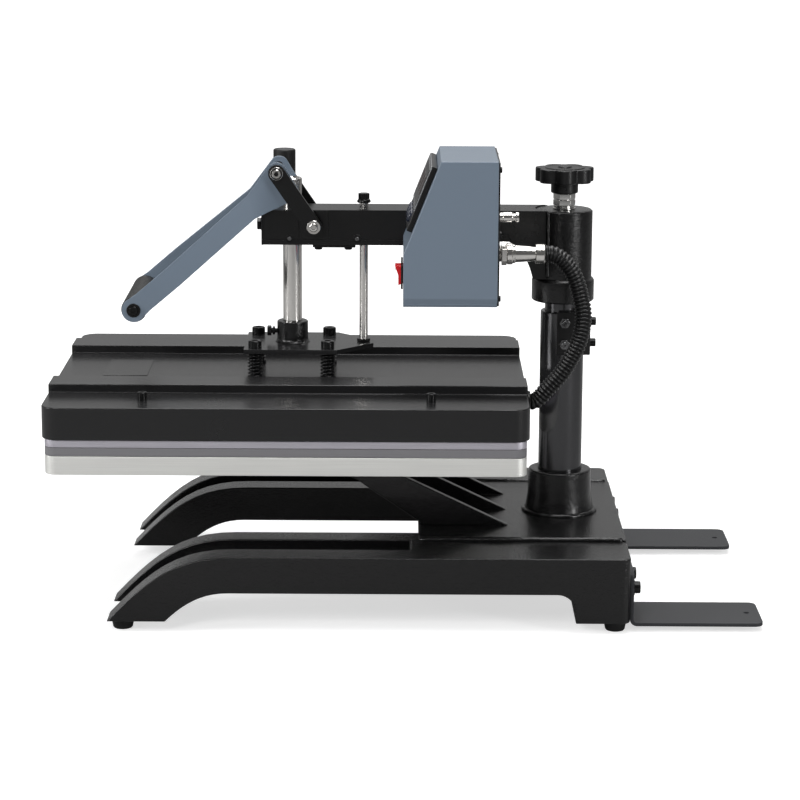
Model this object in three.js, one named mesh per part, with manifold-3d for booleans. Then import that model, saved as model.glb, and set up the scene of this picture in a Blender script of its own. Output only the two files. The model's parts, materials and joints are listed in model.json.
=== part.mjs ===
// A swing-away heat press with a side-mounted controller, shown closed and locked.
// Millimetres, +Z up, operator's side at -Y, +X on the operator's right.
// Every part is drawn from the lift shaft's axis and from a level a little above the floor. The
// whole press is then moved, so that the origin is the centre of its bounding box on the floor.
import * as THREE from 'three';
import { mergeVertices } from 'three/addons/utils/BufferGeometryUtils.js';
import Module from 'manifold-3d';

const wasm = await Module();
wasm.setup();

// ---- Driving dimensions ----

const gap = 0.3; // left between pieces that touch, and round pins in their holes
const facets = 24; // sides of a round piece

const floorBelow = 3; // the floor, below the level that heights are measured from
const platen = { width: 406, length: 508, corner: 12, thickness: 20, bottom: 168 };
const pad = { thickness: 9 };
const heatPlate = { thickness: 8, blockHeight: 12, blockInset: 12 };
const cover = { overhang: 3, corner: 18, wall: 2.5, side: 35, ribX: 107.5, ribWidth: 45, ribHeight: 9.5 };

const columnSpace = 46; // from the platen's rear edge to the column's axis
const column = { radius: 24.15, wall: 4.35, top: 310 };
const socket = { wall: 10.85, flare: 4, rim: 4, top: 130 };
const clamp = { left: -12, sideWall: 1.85, front: 7.4, rearWall: 5.85, bottom: 264, top: 312 };

const foot = { topRadius: 12, soleRadius: 10.5, top: 8.2, x: 187, fromTip: 16, fromRear: 15 };
const leg = {
  inner: 99, outer: 206, top: 79.5, tipFromPlaten: 63, toeRun: 133, soleRun: 62, archRun: 67,
  underside: 40, rearSole: 58, archRadius: 20, railInner: 32, railOuter: 36, groove: 12, grooveEnd: 132,
};
const deck = { halfWidth: 131, thickness: 7.5, top: 81.5, length: 226, behindColumn: 66, frontSlant: 6 };
const fin = {
  spacing: 70, thickness: 9.5, tipFromColumn: 60, footLength: 97, beamDepth: 29.5, frontMargin: 54,
};
const finKnee = { tailRun: 181, beamStart: 68, cornerDrop: 3 };
const stabilizer = {
  inner: 115, outer: 195, thickness: 4, reach: 139, height: 62, floorGap: 3, holeRadius: 3, holeInset: 14,
};

const arm = {
  halfWidth: 25, wall: 3, bottom: 385.5, height: 38.7, front: 32.5, stepFromColumn: 135, step: 4.6,
};
const gusset = { run: 65, footRun: 34.5, drop: 37 };
const hub = {
  wall: 7.35, belowArm: 63.5, topSetback: 0.8, postDepth: 23, studDepth: 33,
  collarWall: 10.35, collarHeight: 25,
};
const underPlate = { halfWidth: 16, front: 23, rear: 70, thickness: 4 };
const gripTab = { left: 73, front: -22, rear: 0, thickness: 6 };
const swingGrip = { x: -60, y: -11, radius: 12.5, length: 89 };

const shaft = { radius: 10.5, aboveWrist: 14, guideWall: 4 };
const collar = { wall: 6.4, height: 23.4 };
const hanger = { half: 52, rear: 50, tip: 90, tipHalf: 10, thickness: 5, top: 273.3 };
const hangerBolt = { x: 40, y: 40, radius: 4, headRadius: 7.3, headHeight: 8 };
const spring = { radius: 8.25, bore: 5.8 };
const guideRod = { y: 79, radius: 4.75, inStop: 8 };
const rodStop = { aboveArm: 5, bottomRadius: 7.6, topRadius: 5.8, height: 10.5 };

const armPivot = { y: 24.7, aboveArmBottom: 21.5, radius: 5, headRadius: 8, headHeight: 4 };
const linkRise = { y: -40.3, z: 58.7 }; // from the arm pivot to the handle pivot
const link = { inner: 33, thickness: 5, radius: 9.2, studRadius: 4.5, studHead: 6.5 };
const wristPin = { radius: 5, halfLength: 24.5 };

const handle = {
  y: -169.7, belowPivot: 145.1, slope: 40.6, plate: 4, endRadius: 13, halfWidth: 11.6,
  headInner: 27, gripInner: 71, bendNear: 54, bendFar: 174, gripRadius: 14,
};
const tieBar = { along: 148, below: -7, radius: 5, halfLength: 34 };

const knob = {
  radius: 32.7, valley: 27, lobes: 7, height: 15.5, hubRadius: 15, hubHeight: 12.5, studRadius: 7.7,
};
const jamNut = { washerRadius: 13.5, washer: 4.3, hexRadius: 12.7, hex: 6, coreRadius: 10.5, height: 17.3 };

const box = {
  inner: 26, width: 135, rearFromColumn: 78, depth: 99.4, below: 44.5, height: 154.5,
  slantFrom: 56, slantRun: 39, wall: 2,
};
const panel = { sideMargin: 8, low: 24, high: 97, proud: 6, windowInset: 10 };
const button = { radius: 7.5, along: 36, pitch: 28, seat: 3.3, top: 8.8, well: 2 };
const powerSwitch = { width: 25, height: 31, rim: 2, proud: 2.4, above: 25.5, halfRocker: 10.2 };
const rocker = { back: 3, backHalf: 9, crest: 7.2, crestHalf: 10.6, dip: 5.4, tilt: 10 };
const inlet = {
  x: 62, above: 43, width: 28, height: 50, proud: 3.5, bodyHalfX: 12, bodyHalfZ: 16, depth: 18, wall: 2,
};
const lead = {
  x: 110, fittingZ: 390.8, glandZ: 230, sensorZ: 430, radius: 9.25, glandRadius: 11, glandLength: 3,
};

// The conduit's route beside the column: [distance behind the column's axis, height].
const conduitRoute = [
  [-26, 390.8], [-20, 390.8], [-10, 386.5], [0, 376.5], [8, 361], [13, 343], [16, 326], [15, 309], [11, 293],
  [4, 278], [-4, 264], [-14, 251.5], [-24, 240.5], [-30.5, 233], [-35.5, 230], [-39.2, 230],
];

// ---- Places worked out from them ----

const columnY = platen.length / 2 + columnSpace;
const rearY = columnY + deck.behindColumn;
const tipY = -platen.length / 2 + leg.tipFromPlaten;
const platenTop = platen.bottom + platen.thickness;
const padTop = platenTop + gap + pad.thickness;
const heatBottom = padTop + gap;
const coverBottom = heatBottom + heatPlate.thickness + gap;
const coverTop = coverBottom + cover.side;
const coverHalfWidth = platen.width / 2 + cover.overhang;
const coverHalfLength = platen.length / 2 + cover.overhang;
const hangerBottom = hanger.top - hanger.thickness;
const socketTopRadius = column.radius + socket.wall;
const hubRadius = column.radius + hub.wall;
const hubCollarRadius = column.radius + hub.collarWall;
const armTop = arm.bottom + arm.height;
const hubBottom = arm.bottom - hub.belowArm;
const hubTop = armTop - hub.topSetback;
const armPivotZ = arm.bottom + armPivot.aboveArmBottom;
const linkTop = { y: armPivot.y + linkRise.y, z: armPivotZ + linkRise.z };
const wristZ = linkTop.z - (linkTop.y / linkRise.y) * linkRise.z; // on the line between both pivots
const handlePlace = { y: handle.y, z: linkTop.z - handle.belowPivot };
const boxRear = columnY - box.rearFromColumn;
const boxFront = boxRear - box.depth;
const boxBottom = arm.bottom - box.below;
const boxTop = boxBottom + box.height;
const slantBase = boxBottom + box.slantFrom;
const slantRise = boxTop - slantBase;
const boxMidX = box.inner + box.width / 2;
const switchZ = boxBottom + powerSwitch.above;
const inletZ = boxBottom + inlet.above;
const stabilizerRear = rearY + stabilizer.reach + stabilizer.thickness + gap;

// ---- Solids and how they are joined ----

function solidOf(geometry) {
  const bare = geometry.clone();
  bare.deleteAttribute('normal');
  bare.deleteAttribute('uv');
  const merged = mergeVertices(bare, 1e-4);
  const vertProperties = merged.attributes.position.array;
  const triVerts = new Uint32Array(merged.index.array);
  return new wasm.Manifold(new wasm.Mesh({ numProp: 3, vertProperties, triVerts }));
}

function geometryOf(solid) {
  const mesh = solid.getMesh();
  const geometry = new THREE.BufferGeometry();
  geometry.setAttribute('position', new THREE.BufferAttribute(mesh.vertProperties, 3));
  geometry.setIndex(new THREE.BufferAttribute(mesh.triVerts, 1));
  return geometry;
}

function join(first, ...others) {
  return geometryOf(others.reduce((sum, other) => sum.add(solidOf(other)), solidOf(first)));
}

function cut(first, ...tools) {
  return geometryOf(tools.reduce((rest, tool) => rest.subtract(solidOf(tool)), solidOf(first)));
}

function common(first, second) {
  return geometryOf(solidOf(first).intersect(solidOf(second)));
}

// A rectangular block between two limits on each axis.
function block([x0, x1], [y0, y1], [z0, z1]) {
  const geometry = new THREE.BoxGeometry(x1 - x0, y1 - y0, z1 - z0);
  return geometry.translate((x0 + x1) / 2, (y0 + y1) / 2, (z0 + z1) / 2);
}

// Round bars along each axis, between two limits.
function uprightBar(radius, [z0, z1], x, y, sides = facets) {
  const geometry = new THREE.CylinderGeometry(radius, radius, z1 - z0, sides);
  return geometry.rotateX(Math.PI / 2).translate(x, y, (z0 + z1) / 2);
}

function crossBar(radius, [x0, x1], y, z, sides = facets) {
  const geometry = new THREE.CylinderGeometry(radius, radius, x1 - x0, sides);
  return geometry.rotateZ(-Math.PI / 2).translate((x0 + x1) / 2, y, z);
}

// Turned about Z from a closed outline of [radius, height] pairs, run anticlockwise.
function turned(outline, sides = facets) {
  const points = outline.map(([radius, height]) => new THREE.Vector2(radius, height));
  return new THREE.LatheGeometry(points, sides).rotateX(Math.PI / 2);
}

function ring(inner, outer, [z0, z1], x, y, sides = facets) {
  const outline = [[inner, z0], [outer, z0], [outer, z1], [inner, z1], [inner, z0]];
  return turned(outline, sides).translate(x, y, 0);
}

// An outline in the Y-Z plane, carried along X, and one in the X-Y plane, carried along Z.
const sideView = new THREE.Matrix4().makeBasis(
  new THREE.Vector3(0, 1, 0), new THREE.Vector3(0, 0, 1), new THREE.Vector3(1, 0, 0),
);

function fromSide(shape, [x0, x1], curveSegments = 10) {
  const settings = { depth: x1 - x0, bevelEnabled: false, curveSegments };
  return new THREE.ExtrudeGeometry(shape, settings).applyMatrix4(sideView).translate(x0, 0, 0);
}

function fromAbove(shape, [z0, z1], curveSegments = 6) {
  const settings = { depth: z1 - z0, bevelEnabled: false, curveSegments };
  return new THREE.ExtrudeGeometry(shape, settings).translate(0, 0, z0);
}

function polygon(points) {
  return new THREE.Shape(points.map(([x, y]) => new THREE.Vector2(x, y)));
}

function roundedRectangle(halfX, halfY, radius) {
  const quarter = Math.PI / 2;
  const shape = new THREE.Shape();
  shape.absarc(halfX - radius, halfY - radius, radius, 0, quarter);
  shape.absarc(radius - halfX, halfY - radius, radius, quarter, 2 * quarter);
  shape.absarc(radius - halfX, radius - halfY, radius, 2 * quarter, 3 * quarter);
  shape.absarc(halfX - radius, radius - halfY, radius, 3 * quarter, 4 * quarter);
  return shape;
}

// The limits of something on the right (side 1) or, mirrored, on the left (side -1).
function onSide(side, near, far) {
  return side > 0 ? [near, far] : [-far, -near];
}

// ---- Stand: legs, deck, fins, column ----

// The leg's side view. A positive drop lowers the toe and the top, for the groove's floor.
function legOutline(drop) {
  const sole = foot.top + gap;
  const top = leg.top - drop;
  const tip = tipY + drop;
  const rise = top - sole;
  const archEnd = rearY - leg.rearSole;
  const archCentre = [archEnd - leg.archRadius, leg.underside - leg.archRadius];
  const shape = new THREE.Shape();
  shape.moveTo(tip, sole);
  shape.lineTo(tipY + leg.soleRun, sole);
  shape.bezierCurveTo(
    tipY + leg.soleRun + 20, sole + 20, tipY + leg.soleRun + leg.archRun * 0.6, leg.underside,
    tipY + leg.soleRun + leg.archRun, leg.underside,
  );
  shape.lineTo(archEnd - leg.archRadius, leg.underside);
  shape.absarc(...archCentre, leg.archRadius, Math.PI / 2, 0, true);
  shape.lineTo(archEnd, sole);
  shape.lineTo(rearY, sole);
  shape.lineTo(rearY, top);
  shape.lineTo(tipY + leg.toeRun, top);
  shape.bezierCurveTo(tipY + leg.toeRun * 0.55, top, tip + leg.toeRun * 0.33, sole + rise * 0.66, tip, sole);
  return shape;
}

function makeLeg(side) {
  const full = onSide(side, leg.inner, leg.outer);
  const floorOfGroove = fromSide(legOutline(leg.groove), full);
  const outerRail = fromSide(legOutline(0), onSide(side, leg.outer - leg.railOuter, leg.outer));
  const innerRail = fromSide(legOutline(0), onSide(side, leg.inner, leg.inner + leg.railInner));
  const rearTop = block(full, [leg.grooveEnd, rearY], [leg.underside + gap, leg.top]);
  const deckSeat = fromSide(deckOutline(gap), onSide(side, leg.inner - 1, deck.halfWidth + gap));
  return cut(join(floorOfGroove, outerRail, innerRail, rearTop), deckSeat);
}

function makeFoot(side, y) {
  const outline = [
    [0, -floorBelow], [foot.soleRadius, -floorBelow], [foot.topRadius, foot.top - 5],
    [foot.topRadius, foot.top], [0, foot.top],
  ];
  return turned(outline, 20).translate(side * foot.x, y, 0);
}

// The deck's side view, its front edge slanting back under it. The spare is the gap round it.
function deckOutline(spare) {
  const front = rearY - deck.length - spare * 2;
  const underside = deck.top - deck.thickness - spare;
  return polygon([
    [front + deck.frontSlant, underside], [rearY + spare, underside], [rearY + spare, deck.top + spare],
    [front, deck.top + spare],
  ]);
}

function makeDeck() {
  return fromSide(deckOutline(0), [-deck.halfWidth, deck.halfWidth]);
}

function makeFin(x) {
  const tip = columnY - fin.tipFromColumn;
  const base = deck.top + gap;
  const top = platen.bottom - gap;
  const front = -platen.length / 2 + fin.frontMargin;
  const outline = new THREE.Shape();
  outline.moveTo(tip, base);
  outline.lineTo(tip - finKnee.tailRun, top);
  outline.lineTo(front, top);
  outline.lineTo(front, top - fin.beamDepth / 2);
  outline.lineTo(front + fin.beamDepth / 2, top - fin.beamDepth);
  outline.lineTo(finKnee.beamStart - 20, top - fin.beamDepth);
  outline.quadraticCurveTo(
    finKnee.beamStart, top - fin.beamDepth,
    finKnee.beamStart + 14, top - fin.beamDepth - finKnee.cornerDrop * 4,
  );
  outline.lineTo(tip - fin.footLength, base + finKnee.cornerDrop);
  outline.lineTo(tip - fin.footLength, base);
  return fromSide(outline, [x - fin.thickness / 2, x + fin.thickness / 2]);
}

function makeSocket() {
  const inner = column.radius + gap;
  const base = deck.top + gap;
  const outline = [
    [inner, base], [socketTopRadius + socket.flare, base],
    [socketTopRadius + socket.flare, base + socket.rim], [socketTopRadius, socket.top],
    [inner, socket.top], [inner, base],
  ];
  return turned(outline, 32).translate(0, columnY, 0);
}

function makeColumnTube() {
  const bore = column.radius - column.wall;
  return ring(bore, column.radius, [deck.top + gap, column.top], 0, columnY, 32);
}

function makeClamp() {
  const body = block(
    [clamp.left, column.radius + clamp.sideWall],
    [columnY - clamp.front, columnY + column.radius + clamp.rearWall], [clamp.bottom, clamp.top],
  );
  return cut(body, uprightBar(column.radius + gap, [clamp.bottom - 1, clamp.top + 1], 0, columnY, 32));
}

// An L-shaped plate: upright on the leg's rear face, flat along the floor behind it.
function makeStabilizer(side) {
  const { thickness, floorGap, height } = stabilizer;
  const front = rearY + gap;
  const bend = thickness * 2;
  const outline = new THREE.Shape();
  outline.moveTo(front, height);
  outline.lineTo(front, floorGap + bend);
  outline.absarc(front + bend, floorGap + bend, bend, Math.PI, 1.5 * Math.PI);
  outline.lineTo(stabilizerRear, floorGap);
  outline.lineTo(stabilizerRear, floorGap + thickness);
  outline.lineTo(front + bend, floorGap + thickness);
  outline.absarc(front + bend, floorGap + bend, bend - thickness, 1.5 * Math.PI, Math.PI, true);
  outline.lineTo(front + thickness, height);
  const plate = fromSide(outline, onSide(side, stabilizer.inner, stabilizer.outer), 5);
  const middle = (side * (stabilizer.inner + stabilizer.outer)) / 2;
  const hole = uprightBar(
    stabilizer.holeRadius, [0, floorGap + thickness + 1], middle, stabilizerRear - stabilizer.holeInset, 12,
  );
  return cut(plate, hole);
}

// ---- Platens ----

function makeLowerPlaten() {
  const outline = roundedRectangle(platen.width / 2, platen.length / 2, platen.corner);
  return fromAbove(outline, [platen.bottom, platenTop]);
}

function makePad() {
  const outline = roundedRectangle(platen.width / 2, platen.length / 2, platen.corner);
  return fromAbove(outline, [platenTop + gap, padTop]);
}

function makeHeatPlate() {
  const outline = roundedRectangle(platen.width / 2, platen.length / 2, platen.corner);
  const top = heatBottom + heatPlate.thickness;
  const halfX = platen.width / 2 - heatPlate.blockInset;
  const halfY = platen.length / 2 - heatPlate.blockInset;
  const element = block([-halfX, halfX], [-halfY, halfY], [top - 1, top + heatPlate.blockHeight]);
  return join(fromAbove(outline, [heatBottom, top]), element);
}

function makeCover() {
  const outer = roundedRectangle(coverHalfWidth, coverHalfLength, cover.corner);
  const inner = roundedRectangle(
    coverHalfWidth - cover.wall, coverHalfLength - cover.wall, cover.corner - cover.wall,
  );
  const halfRib = cover.ribWidth / 2;
  const ribs = [-1, 1].map((side) => block(
    [side * cover.ribX - halfRib, side * cover.ribX + halfRib], [-coverHalfLength, coverHalfLength],
    [coverTop - cover.wall, coverTop + cover.ribHeight],
  ));
  const ribHollows = [-1, 1].map((side) => block(
    [side * cover.ribX - halfRib + cover.wall, side * cover.ribX + halfRib - cover.wall],
    [cover.wall - coverHalfLength, coverHalfLength - cover.wall],
    [coverTop - cover.wall * 2, coverTop + cover.ribHeight - cover.wall],
  ));
  const shell = join(fromAbove(outer, [coverBottom, coverTop]), ...ribs);
  return cut(shell, fromAbove(inner, [coverBottom - 1, coverTop - cover.wall]), ...ribHollows);
}

function makeHangerBolt(sideX, sideY) {
  const { radius, headRadius, headHeight, x, y } = hangerBolt;
  const seat = hanger.top + gap;
  const outline = [
    [0, coverTop + gap], [radius, coverTop + gap], [radius, seat], [headRadius, seat],
    [headRadius, seat + headHeight], [0, seat + headHeight],
  ];
  return turned(outline, 16).translate(sideX * x, sideY * y, 0);
}

function makeSpring(sideX, sideY) {
  const heights = [coverTop + gap, hangerBottom - gap];
  return ring(spring.bore, spring.radius, heights, sideX * hangerBolt.x, sideY * hangerBolt.y, 16);
}

function makeGland() {
  const length = [coverHalfLength + gap, coverHalfLength + gap + lead.glandLength];
  const disc = uprightBar(lead.glandRadius, length, 0, 0, 20);
  return disc.rotateX(-Math.PI / 2).translate(lead.x, 0, lead.glandZ);
}

// ---- Carriage: what the handle pushes down ----

function makeHangerPlate() {
  const { half, rear, tip, tipHalf } = hanger;
  const outline = polygon([
    [-half, -half], [half, -half], [half, rear], [tipHalf, tip], [-tipHalf, tip], [-half, rear],
  ]);
  const reach = [hangerBottom - 1, hanger.top + 1];
  const holes = [-1, 1].flatMap((sideX) => [-1, 1].map((sideY) => uprightBar(
    hangerBolt.radius + gap, reach, sideX * hangerBolt.x, sideY * hangerBolt.y, 16,
  )));
  return cut(fromAbove(outline, [hangerBottom, hanger.top]), ...holes);
}

function makeLiftShaft() {
  const bar = uprightBar(shaft.radius, [hanger.top + gap, wristZ + shaft.aboveWrist], 0, 0);
  return cut(bar, crossBar(wristPin.radius + gap, [-2 * shaft.radius, 2 * shaft.radius], 0, wristZ, 16));
}

function makeCollar() {
  const seat = hanger.top + gap;
  return ring(shaft.radius + gap, shaft.radius + gap + collar.wall, [seat, seat + collar.height], 0, 0);
}

function makeWristPin() {
  return crossBar(wristPin.radius, [-wristPin.halfLength, wristPin.halfLength], 0, wristZ, 16);
}

function makeGuideRod() {
  return uprightBar(guideRod.radius, [hanger.top + gap, armTop + guideRod.inStop], 0, guideRod.y, 16);
}

function makeRodStop() {
  const bottom = armTop + rodStop.aboveArm;
  const bore = guideRod.radius + gap;
  const boreTop = armTop + guideRod.inStop + gap;
  const outline = [
    [0, boreTop], [bore, boreTop], [bore, bottom], [rodStop.bottomRadius, bottom],
    [rodStop.topRadius, bottom + rodStop.height], [0, bottom + rodStop.height],
  ];
  return turned(outline, 16).translate(0, guideRod.y, 0);
}

// ---- Swing arm ----

function makeArmBeam() {
  const { halfWidth, wall, bottom, front } = arm;
  const stepY = columnY - arm.stepFromColumn;
  const rearBottom = bottom + arm.step;
  const outer = join(
    block([-halfWidth, halfWidth], [-front, stepY], [bottom, armTop]),
    block([-halfWidth, halfWidth], [stepY - 1, columnY], [rearBottom, armTop]),
  );
  const hollow = join(
    block([wall - halfWidth, halfWidth - wall], [wall - front, stepY - wall], [bottom + wall, armTop - wall]),
    block(
      [wall - halfWidth, halfWidth - wall], [stepY - wall - 1, columnY + hubRadius],
      [rearBottom + wall, armTop - wall],
    ),
  );
  const web = new THREE.Shape();
  web.moveTo(columnY - gusset.run, rearBottom + wall / 2);
  web.quadraticCurveTo(
    columnY - gusset.run * 0.66, rearBottom - 6, columnY - gusset.footRun, bottom - gusset.drop,
  );
  web.lineTo(columnY, bottom - gusset.drop);
  web.lineTo(columnY, rearBottom + wall / 2);
  const tab = block(
    [-gripTab.left, -halfWidth + 1], [gripTab.front, gripTab.rear], [bottom, bottom + gripTab.thickness],
  );
  const hubSpace = uprightBar(hubRadius + gap, [hubBottom - 1, armTop + 1], 0, columnY, 32);
  const beam = cut(join(outer, fromSide(web, [-halfWidth, halfWidth]), tab), hubSpace);
  const through = [bottom - 1, armTop + 1];
  return cut(
    beam, hollow,
    uprightBar(shaft.radius + gap, through, 0, 0),
    uprightBar(guideRod.radius + gap, through, 0, guideRod.y, 16),
    crossBar(armPivot.radius + gap, [-halfWidth - 1, halfWidth + 1], armPivot.y, armPivotZ, 16),
  );
}

function makeShaftGuide() {
  const inner = shaft.radius + gap;
  const heights = [arm.bottom + arm.wall + gap, armTop - arm.wall - gap];
  return ring(inner, inner + shaft.guideWall, heights, 0, 0);
}

function makeUnderPlate() {
  const { halfWidth, front, rear, thickness } = underPlate;
  const top = arm.bottom - gap;
  return block([-halfWidth, halfWidth], [front, rear], [top - thickness, top]);
}

function makeHub() {
  const bore = column.radius - column.wall;
  const postTop = hubBottom + hub.postDepth + gap;
  const studHole = knob.studRadius + gap;
  const outline = [
    [0, postTop], [bore, postTop], [bore, hubBottom], [hubCollarRadius, hubBottom],
    [hubCollarRadius, hubBottom + hub.collarHeight], [hubRadius, hubBottom + hub.collarHeight],
    [hubRadius, hubTop],
    [studHole, hubTop], [studHole, hubTop - hub.studDepth], [0, hubTop - hub.studDepth],
  ];
  return turned(outline, 32).translate(0, columnY, 0);
}

function makeSwivelPost() {
  const radius = column.radius - column.wall - gap;
  return uprightBar(radius, [socket.top, hubBottom + hub.postDepth], 0, columnY, 32);
}

function makeJamNut() {
  const washerTop = hubTop + gap + jamNut.washer;
  const top = hubTop + gap + jamNut.height;
  const parts = [
    uprightBar(jamNut.washerRadius, [hubTop + gap, washerTop], 0, columnY),
    uprightBar(jamNut.coreRadius, [washerTop - 1, top - 1], 0, columnY),
    uprightBar(jamNut.hexRadius, [washerTop - 0.5, washerTop + jamNut.hex], 0, columnY, 6),
    uprightBar(jamNut.hexRadius, [top - jamNut.hex, top], 0, columnY, 6),
  ];
  return cut(join(...parts), uprightBar(knob.studRadius + gap, [hubTop - 1, top + 1], 0, columnY));
}

function makePressureKnob() {
  const bottom = hubTop + gap + jamNut.height + gap;
  const outline = new THREE.Shape();
  const steps = knob.lobes * 10;
  for (let i = 0; i < steps; i += 1) {
    const angle = (2 * Math.PI * i) / steps;
    const lobe = 0.5 + 0.5 * Math.cos(knob.lobes * angle);
    const radius = knob.valley + (knob.radius - knob.valley) * Math.sqrt(lobe);
    const point = [radius * Math.cos(angle), radius * Math.sin(angle)];
    if (i === 0) outline.moveTo(...point);
    else outline.lineTo(...point);
  }
  const star = fromAbove(outline, [bottom + knob.hubHeight, bottom + knob.hubHeight + knob.height]);
  const neck = uprightBar(knob.hubRadius, [bottom, bottom + knob.hubHeight + 1], 0, 0);
  const stud = uprightBar(knob.studRadius, [hubTop - hub.studDepth + 2, bottom + 1], 0, 0);
  return join(star, neck, stud).translate(0, columnY, 0);
}

function makeSwingGrip() {
  const bottom = arm.bottom + gripTab.thickness + gap;
  const { x, y, radius, length } = swingGrip;
  const edge = 2;
  const outline = [
    [0, bottom], [radius, bottom], [radius, bottom + length - edge], [radius - edge, bottom + length],
    [0, bottom + length],
  ];
  return turned(outline, 24).translate(x, y, 0);
}

// ---- Toggle and handle ----

// A bolt through the arm and both links, with a spacer on each side of the arm.
function makeTogglePin() {
  const outerEnd = link.inner + link.thickness + gap;
  const spacerEnd = link.inner - gap;
  const half = [
    [armPivot.radius, spacerEnd], [armPivot.radius, outerEnd], [armPivot.headRadius, outerEnd],
    [armPivot.headRadius, outerEnd + armPivot.headHeight], [0, outerEnd + armPivot.headHeight],
  ];
  const near = [[armPivot.radius, arm.halfWidth + gap], [armPivot.headRadius, arm.halfWidth + gap]];
  const rightHalf = [...near, [armPivot.headRadius, spacerEnd], ...half];
  const leftHalf = rightHalf.map(([radius, x]) => [radius, -x]).reverse();
  const pin = turned([...leftHalf, ...rightHalf], 16);
  return pin.rotateY(Math.PI / 2).translate(0, armPivot.y, armPivotZ);
}

function makeLink(side) {
  const tilt = Math.atan2(linkRise.z, linkRise.y);
  const outline = new THREE.Shape();
  outline.absarc(linkTop.y, linkTop.z, link.radius, tilt - Math.PI / 2, tilt + Math.PI / 2);
  outline.absarc(armPivot.y, armPivotZ, link.radius, tilt + Math.PI / 2, tilt + 1.5 * Math.PI);
  const outer = link.inner + link.thickness;
  const plate = fromSide(outline, onSide(side, link.inner, outer));
  const studSpan = onSide(side, handle.headInner - gap, outer + 1);
  const stud = crossBar(link.studRadius, studSpan, linkTop.y, linkTop.z, 16);
  const head = crossBar(link.studHead, onSide(side, outer - 1, outer + 4), linkTop.y, linkTop.z, 16);
  const holeSpan = onSide(side, link.inner - 1, outer + 1);
  const hole = crossBar(armPivot.radius + gap, holeSpan, armPivot.y, armPivotZ, 16);
  return cut(join(plate, stud, head), hole);
}

// The handle is drawn flat, with the grip's axis at the origin and the bar along +Y, then tilted.
function placeHandle(geometry) {
  return geometry.rotateX(THREE.MathUtils.degToRad(handle.slope)).translate(0, handlePlace.y, handlePlace.z);
}

function handlePoint(y, z) {
  const point = new THREE.Vector2(y - handlePlace.y, z - handlePlace.z);
  return point.rotateAround(new THREE.Vector2(), -THREE.MathUtils.degToRad(handle.slope));
}

function makeHandlePlate(side) {
  const pivot = handlePoint(linkTop.y, linkTop.z);
  const wrist = handlePoint(0, wristZ);
  const { endRadius, halfWidth, plate, headInner, gripInner, bendNear, bendFar } = handle;
  const outline = new THREE.Shape();
  outline.absarc(0, 0, endRadius, Math.PI / 2, 1.5 * Math.PI);
  outline.lineTo(endRadius, -halfWidth);
  outline.lineTo(wrist.x - 48, -halfWidth - 1);
  outline.lineTo(wrist.x - 12, wrist.y - 5);
  outline.absarc(wrist.x, wrist.y, 9, 1.5 * Math.PI, 2 * Math.PI);
  outline.absarc(pivot.x, pivot.y, 11, 0, Math.PI / 2);
  outline.lineTo(pivot.x - 42, halfWidth);
  outline.lineTo(endRadius, halfWidth);
  const length = pivot.x + 40;
  const fold = polygon([
    [gripInner, -40], [gripInner + plate, -40], [gripInner + plate, bendNear + 1],
    [headInner + plate, bendFar + 1],
    [headInner + plate, length],
    [headInner, length],
    [headInner, bendFar],
    [gripInner, bendNear],
  ].map(([x, y]) => [side * x, y]));
  const flat = fromSide(outline, onSide(side, headInner - 1, gripInner + plate + 1));
  const hole = crossBar(link.studRadius + gap, onSide(side, headInner - 2, link.inner), pivot.x, pivot.y, 16);
  return placeHandle(cut(common(flat, fromAbove(fold, [-60, 60])), hole));
}

function makeHandleGrip() {
  const half = handle.gripInner - gap;
  return placeHandle(crossBar(handle.gripRadius, [-half, half], 0, 0));
}

function makeTieBar() {
  const { along, below, radius, halfLength } = tieBar;
  return placeHandle(crossBar(radius, [-halfLength, halfLength], along, below, 16));
}

// ---- Controller ----

// The case's side view, drawn in from its outside by an inset.
function boxOutline(inset) {
  const length = Math.hypot(box.slantRun, slantRise);
  const across = (inset * slantRise) / length;
  const down = (inset * box.slantRun) / length;
  const front = boxFront + inset;
  const slope = slantRise / box.slantRun;
  return polygon([
    [front, boxBottom + inset], [boxRear - inset, boxBottom + inset], [boxRear - inset, boxTop - inset],
    [boxFront + across + (boxTop - inset - slantBase + down) / slope, boxTop - inset],
    [front, slantBase - down + (inset - across) * slope],
  ]);
}

// Places what is drawn flat (X across, Y up the slanted front, Z outwards) on the slanted front.
const slantView = new THREE.Matrix4().makeBasis(
  new THREE.Vector3(1, 0, 0),
  new THREE.Vector3(0, box.slantRun, slantRise).normalize(),
  new THREE.Vector3(0, -slantRise, box.slantRun).normalize(),
).setPosition(0, boxFront, slantBase);

const panelX = [box.inner + panel.sideMargin, box.inner + box.width - panel.sideMargin];

function makeControlCase() {
  const outer = fromSide(boxOutline(0), [box.inner, box.inner + box.width]);
  const inner = fromSide(boxOutline(box.wall), [box.inner + box.wall, box.inner + box.width - box.wall]);
  const window = block(
    [panelX[0] + panel.windowInset, panelX[1] - panel.windowInset],
    [panel.low + panel.windowInset, panel.high - panel.windowInset], [-box.wall * 4, 1],
  ).applyMatrix4(slantView);
  const switchHole = block(
    [boxMidX - powerSwitch.width / 2 + powerSwitch.rim, boxMidX + powerSwitch.width / 2 - powerSwitch.rim],
    [boxFront - 1, boxFront + box.wall * 2],
    [switchZ - powerSwitch.height / 2 + powerSwitch.rim, switchZ + powerSwitch.height / 2 - powerSwitch.rim],
  );
  const inletHole = block(
    [inlet.x - inlet.bodyHalfX - gap, inlet.x + inlet.bodyHalfX + gap],
    [boxRear - box.wall * 2, boxRear + 1],
    [inletZ - inlet.bodyHalfZ - gap, inletZ + inlet.bodyHalfZ + gap],
  );
  return cut(outer, inner, window, switchHole, inletHole);
}

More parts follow.
